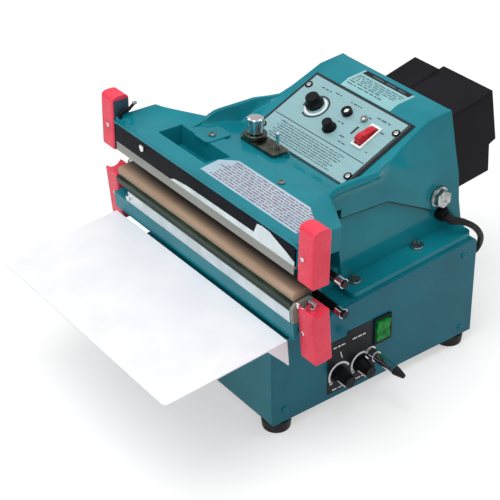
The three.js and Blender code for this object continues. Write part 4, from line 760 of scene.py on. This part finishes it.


# A black rubber sheet under the panel: partly seal, partly painted shadow of its recess.
draw("panel_seal_and_shadow", [bar(-82, -1.6, 84.6, 103.8)], on_panel, 0.05, rubber, "arm", "rubber", 0.9)
border = [bar(-79.9, 0.1, 79.9, 101.9), bar(-78.2, 1.4, 77.6, 100.2)]
print_panel("panel_border", border, black_ink)
print_panel("panel_divider", [bar(-76.5, 33.6, 76, 34.6)], black_ink)
timer_scale = ring(*TIMER_AT, 17.2, 15, -118, 112) + ring(*TIMER_AT, 17.2, 15, 168, 204)
switch_mark = bar(28, 57, 31, 69)
print_panel("timer_scale", timer_scale + [switch_mark], black_ink)
print_panel("timer_fill", ring(*TIMER_AT, 13.8, 11.2, -150, 95), white_ink)
captions = []
for left, right, level in (
    (-57, -38, 90), (-35, -20, 92), (-7, 13, 91), (22, 36, 85), (38, 60, 90), (1.6, 11, 63),
    (19.6, 27, 49), (25, 36, 42), (58, 65, 76), (65, 70, 47), (-56, -52, 29),
):
    captions += words(left, right, level, 2.6, 3)
print_panel("panel_captions", captions, grey_ink)
small_print = []
for row in range(8):
    small_print += words(-60 + 4 * (row % 2), 52 - 9 * letters.random(), 28.5 - 3.2 * row, 1.7)
print_panel("panel_instructions", small_print, grey_ink)
print(len(captions) + len(small_print), "dashes on the panel")

# %% [markdown]
# A screw head is a short cylinder with a crowned top and a slot or a cross cut into it. It is
# shaped once at the middle of the world, and each screw is a copy with its own mesh.

# %% Screws


def primitive(kind, name, **size):
    bpy.ops.object.select_all(action="DESELECT")
    getattr(bpy.ops.mesh, f"primitive_{kind}_add")(**size)
    piece = bpy.context.object
    piece.name = name
    return piece


def crown(piece, inset_mm, rise_mm):
    """Narrows the top face of a piece and lifts it."""
    alone(piece)
    bpy.ops.object.mode_set(mode="EDIT")
    bpy.ops.mesh.select_mode(type="FACE")
    bpy.ops.mesh.select_all(action="DESELECT")
    shape = bmesh.from_edit_mesh(piece.data)
    for face in shape.faces:
        face.select = face.normal.z > 0.9
    bmesh.update_edit_mesh(piece.data)
    bpy.ops.mesh.inset(thickness=inset_mm * MM)
    bpy.ops.transform.translate(value=(0, 0, rise_mm * MM))
    bpy.ops.object.mode_set(mode="OBJECT")


def soften(piece, radius_mm, segments=2):
    bevelled(piece, radius_mm, 30, segments)
    smooth(piece, 35)
    finish_with(piece, "WEIGHTED_NORMAL", keep_sharp=True)


def cut_slots(piece, turns, level, long, wide, deep):
    for turn in turns:
        cutter = primitive("cube", "cutter", size=MM)
        shape = turned_at((0, 0, level), turn, "Z") @ Matrix.Diagonal((long, wide, deep, 1))
        cutter.data.transform(shape)
        finish_with(piece, "BOOLEAN", operation="DIFFERENCE", object=cutter, solver="EXACT")
        bpy.data.objects.remove(cutter)


def head(name, turns):
    """The head is 1 mm in radius, and grows with its screw."""
    height = 0.5
    screw = primitive("cylinder", name, vertices=28, radius=MM, depth=height * MM)
    crown(screw, 0.3, height * 0.22)
    screw.data.transform(Matrix.Translation((0, 0, height / 2 * MM)))
    cut_slots(screw, turns, 1.12 * height, 2.4, 0.3, height * 0.9)
    soften(screw, 0.05)
    return screw


patterns = {"slotted": head("slotted", (35,)), "crossed": head("crossed", (20, 110))}


def screw_on(name, pattern, radius, frame_matrix, x, y, level, finish, body, slot, stand=Matrix()):
    screw = show(name, patterns[pattern].data.copy())
    place = frame_matrix @ turned_at((x, y, level)) @ stand
    return place_on(screw, place @ Matrix.Scale(radius, 4), finish, body)


def washer_on(
    name, outer, inner, height, frame_matrix, x, y, level, finish, body, slot, stand=Matrix()
):
    washer = draw(name, ring(0, 0, outer, inner), Matrix(), 0, finish, body, slot, height)
    soften(washer, min(height, outer - inner) * 0.25)
    washer.data.transform(frame_matrix @ turned_at((x, y, level)) @ stand)
    return washer


# %% [markdown]
# Four screws in black cups hold the panel. A lamp sits in a collar, a smaller one in a bright ring,
# and the fuse cap stands on a flange. All of these rims are washers of different heights.

# %% Panel screws, lamps and fuse
corners = ((-74.6, 12), (74.6, 12), (-74.6, 84.5), (74.6, 84.5))
black_part = (black_abs, "arm", "black_plastic")
for number, (x, y) in enumerate(corners):
    spot = (on_panel, x, y, PANEL_TOP)
    washer_on(f"panel_cup_{number}", 4.8, 2.6, 1.1, *spot, *black_part)
    screw_on(f"panel_screw_{number}", "crossed", 2.9, *spot, chrome, "arm", "chrome")
washer_on("power_lamp_ring", 6.3, 3.6, 5.2, on_panel, 2, 77, PANEL_TOP, *black_part)
washer_on("seal_lamp_ring", 4.0, 2.4, 3.6, on_panel, 27.6, 79.5, PANEL_TOP, zinc, "arm", "chrome")
washer_on("fuse_flange", 8.4, 5.6, 1.6, on_panel, 1, 50, PANEL_TOP, *black_part)
print("panel is dressed")

# %% [markdown]
# The two rocker switches are snapped into their plates. The solid keys are plain, so each switch
# gets a moulded frame and a humped key. The frame is a rim with a hole and a thin black floor. The
# key is drawn as its side view, with a hump at the end that stands out, and is given its width.

# %% Rocker switches
KEY_RADIUS = 0.7
UNDER_RIM = 0.6


def switch_frame(name, left, low, right, high, stand, walls, frame_matrix, finish, body, slot):
    """walls are the widths of the rim on the left, right, low and high sides."""
    hole = bar(left + walls[0], low + walls[2], right - walls[1], high - walls[3])
    rim = draw(name, [bar(left, low, right, high), hole], Matrix(), 0, finish, body, slot, stand)
    soften(rim, 0.45)
    well = [bar(left + UNDER_RIM, low + UNDER_RIM, right - UNDER_RIM, high - UNDER_RIM)]
    draw(name + "_well", well, frame_matrix, 0.02, black_abs, body, "black_plastic", 0.3)
    rim.data.transform(frame_matrix)
    return rim


def humped_key(name, left, right, profile, frame_matrix, finish, body, slot):
    """The profile runs along y and stands up along z. The key is that profile, drawn across x."""
    wide = right - left
    key = draw(name, [profile], Matrix(), -wide / 2, finish, body, slot, wide)
    soften(key, KEY_RADIUS, 3)
    key.data.transform(frame_matrix @ turned_at(((left + right) / 2, 0, 0)) @ TO_RIGHT)
    return key


power_rim = switch_frame(
    "power_frame", 41.6, 45.6, 57.6, 80.2, 2.6, (1.6, 2.2, 3, 3),
    on_panel @ turned_at((0, 0, PANEL_TOP)), white_nylon, "arm", "white_plastic",
)
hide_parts("power_bezel")
power_profile = [
    (50.6, 0), (50.0, 5.2), (51.6, 9.6), (55.5, 10.6), (60, 9.8), (67, 7.6), (73.6, 6.6), (75.8, 5),
    (75.8, 0),
]
power_key = humped_key(
    "power_key", 44.4, 53.6, power_profile, on_panel, red_lens, "power_switch", "switch_red"
)
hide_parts("power_rocker")

mains_rim = switch_frame(
    "mains_frame", 137.9, 46.3, 163.1, 80.5, 2.7, (1.6, 1.9, 3.4, 3.2),
    on_side, black_abs, "base", "black_plastic",
)
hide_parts("mains_bezel")
mains_profile = [
    (50.6, 0), (50.2, 3.4), (51.6, 4.6), (63, 3.6), (75.2, 5.6), (76.4, 4.6), (76.2, 0),
]
mains_key = humped_key(
    "mains_key", 141.1, 159.9, mains_profile, on_side, green_lens, "mains_switch", "green_plastic"
)
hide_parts("mains_rocker")

# %% [markdown]
# The right side panel carries a black printed plate with two white arcs, one round each dial. The
# dials are small black knobs with a white line along the side that faces the operator.

# %% Side plate and dials
SIDE_TOP = 0.48
DIAL_LINE = (1.7, 0.8, 17)
DIAL_LINE_TURN = -82
plate_outline = [
    (74, 7), (142, 7), (142, 45), (136.6, 45), (136.6, 80.5), (101, 80.5), (101, 75), (74, 75),
]
draw("side_plate", [plate_outline], on_side, 0, black_plate, "base", "black_plastic", 0.5)
arcs = ring(91, 29, 15.6, 13.0, 25, 215) + ring(121.5, 30, 14.6, 12.0, 25, 215)
arcs += [circle(*end, 2) for end in ((79.2, 20.7), (110.5, 22.3))]
arcs += [stroke((92, 58), (94.6, 49), 1.1)]
draw("dial_arcs", arcs, on_side, SIDE_TOP, white_ink, "base", "white_paint")
side_words = []
for left, right, level in (
    (82, 98, 66.5), (108.6, 129, 67.5), (81, 97, 10.5), (112.7, 127.5, 10.9)
):
    side_words += words(left, right, level, 2.4, 4)
draw("side_captions", side_words, on_side, SIDE_TOP, white_ink, "base", "white_paint")
for name, body, y in (("front_dial_line", "front_dial", 92), ("rear_dial_line", "rear_dial", 121)):
    line = primitive("cube", name, size=MM)
    line.data.transform(Matrix.Diagonal((*DIAL_LINE, 1)))
    soften(line, 0.25)
    around = turned_at((y, 27.5, 10.8), DIAL_LINE_TURN, "Z") @ turned_at((0, -8.75, 0))
    place_on(line, on_side @ around, white_ink, body)

# %% [markdown]
# Screws hold the side panels, and two large flange screws on each side hold the casting on the
# sloping top. Their heads have six flats and a cross.

# %% Screws of the base
side_screws = ((15.8, 16.8), (285.6 - FOOT_HEIGHT, 10.6), (283.4 - FOOT_HEIGHT, 110))
painted = (teal_enamel, "base", "teal_paint")
for number, (y, z) in enumerate(side_screws):
    screw_on(f"side_screw_right_{number}", "crossed", 3.2, on_side, y, z, 0, *painted)
for number, (y, z) in enumerate(side_screws):
    name = f"side_screw_left_{number}"
    screw_on(name, "crossed", 3.2, on_base, -BASE_HALF, y, z, *painted, TO_LEFT)


def standing(name, vertices, radius, height, low):
    """A cylinder that stands on the given level."""
    middle = (0, 0, (low + height / 2) * MM)
    size = {"radius": radius * MM, "depth": height * MM}
    return primitive("cylinder", name, vertices=vertices, location=middle, **size)


def flange_head(name):
    flange = standing(name, 40, 8, 1.6, 0)
    crown(flange, 1.4, 0.7)
    flats = standing("flats", 6, 6.1, 4.6, 1.7)
    crown(flats, 0.8, 0.5)
    alone(flange, flats)
    bpy.ops.object.join()
    bpy.ops.object.transform_apply(location=True, rotation=True, scale=True)
    cut_slots(flange, (35, 125), 6.2, 7.6, 1.7, 4)
    soften(flange, 0.25)
    return flange


flange_screw = flange_head("flange_screw")
flange_places = ((109.2, 129.5), (107.1, 220.8), (-109.2, 129.5), (-107.1, 220.8))
for number, (x, v) in enumerate(flange_places):
    screw = show(f"flange_screw_{number}", flange_screw.data.copy())
    place_on(screw, on_deck @ turned_at((x, v, 8)), zinc, "base")
bpy.data.objects.remove(flange_screw)

# %% [markdown]
# On the arm's flat front lies a paper label with ten rows of small print, its left end cut to a
# point. A second label bends over the top edge of the instrument housing, so it starts as a grid
# and is shrinkwrapped down on the casting, and so is each of its marks.

# %% Labels on the arm
ARM_TOP = 107.98
label_outline = [(-22, 25.5), (146, 25.5), (146, 69), (-12, 69), (-27, 53)]
draw("arm_label", [label_outline], on_arm, ARM_TOP, paper, "arm", "white_plastic", 0.15)
rows = [bar(-17, 48.0, 0, 49.4)]
for row in range(10):
    rows += words(-10 + 1.5 * (row % 3), 144, 64.5 - 3.9 * row, 2.3, 5)
draw("arm_label_rows", rows, on_arm, ARM_TOP + 0.12, mauve_ink, "arm", "white_plastic")


def wrapped(name, left, low, right, high, lift, finish, cuts=2):
    """A thin label laid from above on the arm casting, over any bend."""
    label = primitive("grid", name, x_subdivisions=6, y_subdivisions=cuts, size=MM)
    above = turned_at(((left + right) / 2, (low + high) / 2, 170))
    label.data.transform(on_arm @ above @ Matrix.Diagonal((right - left, high - low, 1, 1)))
    finish_with(
        label, "SHRINKWRAP", target=skins["arm_casting"], wrap_method="PROJECT", offset=lift * MM,
        use_project_z=True, use_negative_direction=True, use_positive_direction=False,
    )
    finish_with(label, "SOLIDIFY", thickness=0.12 * MM, offset=-1)
    smooth(label, 40)
    return place_on(label, Matrix(), finish, "arm")


wrapped("housing_label", -42, 231.5, 42, 268, 0.2, pale_foil, 24)
wrapped("housing_title", -38.5, 261, 38.5, 268.6, 0.3, black_plate, 4)
for letter, left, right in (("a", -24, -6), ("b", -2, 14), ("c", 18, 30)):
    wrapped(f"housing_word_{letter}", left, 263.6, right, 265.8, 0.4, grey_ink)
for row in range(6):
    level = 256 - 3.6 * row
    left = -38
    while left < 34 - 20 * (row > 3):
        long = letters.uniform(3, 10)
        name = f"housing_dash_{row}_{int(left + 40)}"
        wrapped(name, left, level - 0.7, left + long, level + 0.7, 0.32, grey_ink)
        left += long + letters.uniform(1.4, 3)

# %% [markdown]
# A raised pad with round corners carries a screw beside the label. Slotted screws hold the strip of
# the upper jaw, the rail of the lower one and the four end caps.

# %% Screws of the arm and the jaws
PAD_MIDDLE, PAD_HALF, PAD_CORNER = (-78, 81), (8, 11), 6
pad = []
for right, up, start in ((1, 1, 0), (-1, 1, 90), (-1, -1, 180), (1, -1, 270)):
    x, y = PAD_MIDDLE[0] + PAD_HALF[0] * right, PAD_MIDDLE[1] + PAD_HALF[1] * up
    pad += circle(x, y, PAD_CORNER, start, start + 90, 6)
arm_pad = draw("arm_pad", [pad], on_arm, ARM_TOP - 1, teal_enamel, "arm", "teal_paint", 2.2)
soften(arm_pad, 0.6, 3)
screw_on("pad_screw", "crossed", 4.2, on_arm, -75.5, 79, 109.1, zinc, "arm", "chrome")
screw_on("label_screw", "crossed", 4.0, on_arm, 52.5, 76.4, ARM_TOP, zinc, "arm", "chrome")
screw_on(
    "strip_screw", "slotted", 4.1, on_arm, -107.6, 8.4, 101.2, chrome, "arm", "chrome", TO_FRONT
)
screw_on("rail_screw", "slotted", 3.6, on_deck, -134, 3, 53.4, chrome, "base", "chrome", TO_FRONT)
for name, x, y, w, frame_matrix, body in (
    ("upper_cap_screw", 175.6, 7.5, 102.4, on_arm, "arm"),
    ("upper_cap_screw_left", -175.6, 7.5, 102.4, on_arm, "arm"),
    ("lower_cap_screw", 174.7, 9, 39.1, on_deck, "base"),
    ("lower_cap_screw_left", -174.7, 9, 39.1, on_deck, "base"),
):
    screw_on(name, "slotted", 2.6, frame_matrix, x, y, w, chrome, body, "chrome", TO_FRONT)

# %% [markdown]
# Under the black strip of the upper jaw runs a bright backing bar, which widens into a tongue near
# its right end. The strip folds over the arm's top edge, and an apron of glass cloth hangs below
# the bar. All are thin, and are drawn as outlines.

# %% Strips of the upper jaw
front_of_jaw = on_arm @ turned_at((0, 8.4, 0)) @ TO_FRONT
tongue = [
    (-54, 86.9), (-46, 90.5), (-20, 93), (96, 94.2), (99, 101), (101.4, 106.2), (109, 107.2),
    (122, 106.4), (130, 103), (145, 97.8), (161.8, 91.8), (161.8, 86.9),
]
draw("jaw_backing", [tongue], front_of_jaw, -0.02, drawn_aluminium, "arm", "aluminium", 0.5)
apron = [bar(-161, 76.2, 161, 86.8)]
draw("cloth_apron", apron, front_of_jaw, -0.02, grey_cloth, "arm", "cloth", 0.25)
fold = [bar(-162, 8, 162, 10.9)]
draw("strip_fold", fold, on_arm, ARM_TOP, laminate, "arm", "black_plastic", 0.5)

# %% [markdown]
# The arm's skirt stands six millimetres outside the cheeks of the frame. A thin black rubber strip
# just under its edge is painted shadow: it draws the dark line of the shade under the skirt along
# the seam.

# %% Painted shadow along the skirt
seam = [(117, 76.4), (181.3, 74.9), (251.5, 40.4)]
# A thin black strip just under the seam: painted shadow of the skirt's edge.
shadow_strip_outline = [(v, w + 0.2) for v, w in seam] + [(v - 0.5, w - 1.2) for v, w in reversed(seam)]
for side, x in (("right", 101.2), ("left", -101.2)):
    shadow_strip = draw(f"skirt_shadow_strip_{side}", [shadow_strip_outline], Matrix(), -2.2, rubber, "arm", "rubber", 4.4)
    shadow_strip.data.transform(on_arm @ turned_at((x, 0, 0)) @ TO_RIGHT)

# %% [markdown]
# The cloth rods turn in the caps, and a bright sleeve near each end keeps them there. Each is a
# tube, drawn as a ring and given its length.

# %% Sleeves of the rods
ALONG_X = Matrix.Rotation(math.radians(90), 4, "Y")
for name, frame_matrix, w, body in (
    ("lower_rod_sleeve", on_deck, 55, "lower_roller"),
    ("upper_rod_sleeve", on_arm, 69.1, "upper_roller"),
):
    for number, x in enumerate((184.5, -193.5)):
        spot = (frame_matrix, x, 46, w)
        washer_on(f"{name}_{number}", 5.35, 4.6, 9, *spot, chrome, body, "chrome", ALONG_X)

# %% [markdown]
# At the right end of the lower jaw the heating wire is held under tension: three bright screws on
# posts and a coil spring lie in the notch of the red cap. A grey end piece covers the rail.

# %% Wire terminals
end_piece = [(3.4, 47.2), (30, 47.2), (32, 50), (32, 66), (28, 70), (8, 70), (3.4, 66)]
tab = draw("rail_end", [end_piece], Matrix(), -2.3, pale_grey, "base", "aluminium", 4.6)
soften(tab, 0.8, 3)
tab.data.transform(on_deck @ turned_at((163.8, 0, 0)) @ TO_RIGHT)
COIL_START, COIL_LENGTH, COIL_RADIUS, COIL_TURNS, STEPS = Vector((167, 25, 66)), 12, 2.5, 6, 120
coil = []
for step in range(STEPS + 1):
    turn = math.radians(step * 360 * COIL_TURNS / STEPS)
    around = (COIL_RADIUS * math.cos(turn), COIL_RADIUS * math.sin(turn))
    coil.append(on_deck @ ((COIL_START + Vector((step * COIL_LENGTH / STEPS, *around))) * MM))
spring = tube("wire_spring", coil, [0.55] * len(coil), "base")
paint(spring, chrome)
terminals = ((165, 12, 69.6, 2.6), (171.5, 13.5, 66.5, 2.8), (177.5, 20, 66.5, 2.4))
bright = (chrome, "base", "chrome")
for number, (x, y, w, radius) in enumerate(terminals):
    screw_on(f"terminal_screw_{number}", "slotted", radius, on_deck, x, y, w, *bright)
    washer_on(f"terminal_post_{number}", radius * 1.15, 0.8, 4.4, on_deck, x, y, w - 4.4, *bright)

# %% [markdown]
# Each upper cap is lined with dark board towards the arm, and a small lever with a grey tip stands
# behind the left one.

# %% Liners and lever
liner_outline = bar(9.4, 75, 28.6, 133)
dark_board = (cap_liner_board, "arm", "black_plastic")
for side, x in (("right", 166.65), ("left", -166.65)):
    liner = draw(f"cap_liner_{side}", [liner_outline], Matrix(), -0.1, *dark_board, 0.2)
    liner.data.transform(on_arm @ turned_at((x, 0, 0)) @ TO_RIGHT)
LEVER_X = -163
lever_bends = ((14.5, 107), (15, 117), (19, 120), (27, 120.6), (34, 126))
lever_line = [on_arm @ (Vector((LEVER_X, *bend)) * MM) for bend in lever_bends]
lever = tube("cap_lever", lever_line, [2.4, 2.4, 2.2, 1.9, 1.7], "arm")
paint(lever, black_abs)
knob = primitive("uv_sphere", "lever_knob", segments=20, ring_count=12, radius=2.9 * MM)
knob.data.transform(Matrix.Diagonal((1, 1, 0.65, 1)))
place_on(knob, on_arm @ turned_at((LEVER_X, 34.5, 126.4)), pale_grey, "arm")
smooth(knob, 60)
for pattern in patterns.values():
    bpy.data.objects.remove(pattern)
print("jaws are dressed")

# %% [markdown]
# The machine was photographed on white paper in even light. A floor that stays plain white, a large
# soft lamp above the operator and a weak one from the right give that, with the top faces lightest,
# as in the photograph. The sky is brightest overhead and dims towards the horizon.

# %% Floor and light
FLOOR_LIFT = 0.42
SKY_LOW, SKY_HIGH = 0.3, 1.0
AIM = Vector((0, 0, 0.1))


def soft_light(name, place, size, watts):
    lamp = bpy.data.lights.new(name, "AREA")
    lamp.shape, lamp.size, lamp.energy = "DISK", size, watts
    holder = show(name, lamp)
    holder.location = place
    holder.rotation_euler = (AIM - Vector(place)).to_track_quat("-Z", "Y").to_euler()


floor = primitive("plane", "floor", size=12)
floor_finish, tree, bsdf, place = start_finish("pale_floor", Roughness=0.9)
colour_between(tree, bsdf, clouds(tree, place, 400), "D2D2D2", "CECECE")
# What the camera sees of the floor is lifted to plain white. Bright metal sees the same floor.
seen = node(tree, "LightPath")
bsdf.inputs["Emission Color"].default_value = (1, 1, 1, 1)
ray = seen.outputs["Is Camera Ray"]
for other in ("Is Glossy Ray", "Is Transmission Ray"):
    larger = node(tree, "Math", {"operation": "MAXIMUM"}, i0=ray, i1=seen.outputs[other])
    ray = larger.outputs["Value"]
lift = node(tree, "Math", {"operation": "MULTIPLY", 1: FLOOR_LIFT}, i0=ray)
tree.links.new(lift.outputs[0], bsdf.inputs["Emission Strength"])
floor.data.materials.append(floor_finish)
soft_light("key", (0.1, -0.9, 2.4), 1.8, 24)
soft_light("fill", (1.6, -1.6, 1.2), 1.6, 3)
world = bpy.data.worlds.new("studio")
bpy.context.scene.world = world
world.use_nodes = True
sky = world.node_tree
height = node(sky, "SeparateXYZ", Vector=node(sky, "TexCoord").outputs["Generated"]).outputs["Z"]
level = spread(sky, height, 0.1, 0.9, SKY_LOW, SKY_HIGH)
sky.nodes["Background"].inputs["Color"].default_value = (1, 1, 1, 1)
sky.links.new(level, sky.nodes["Background"].inputs["Strength"])
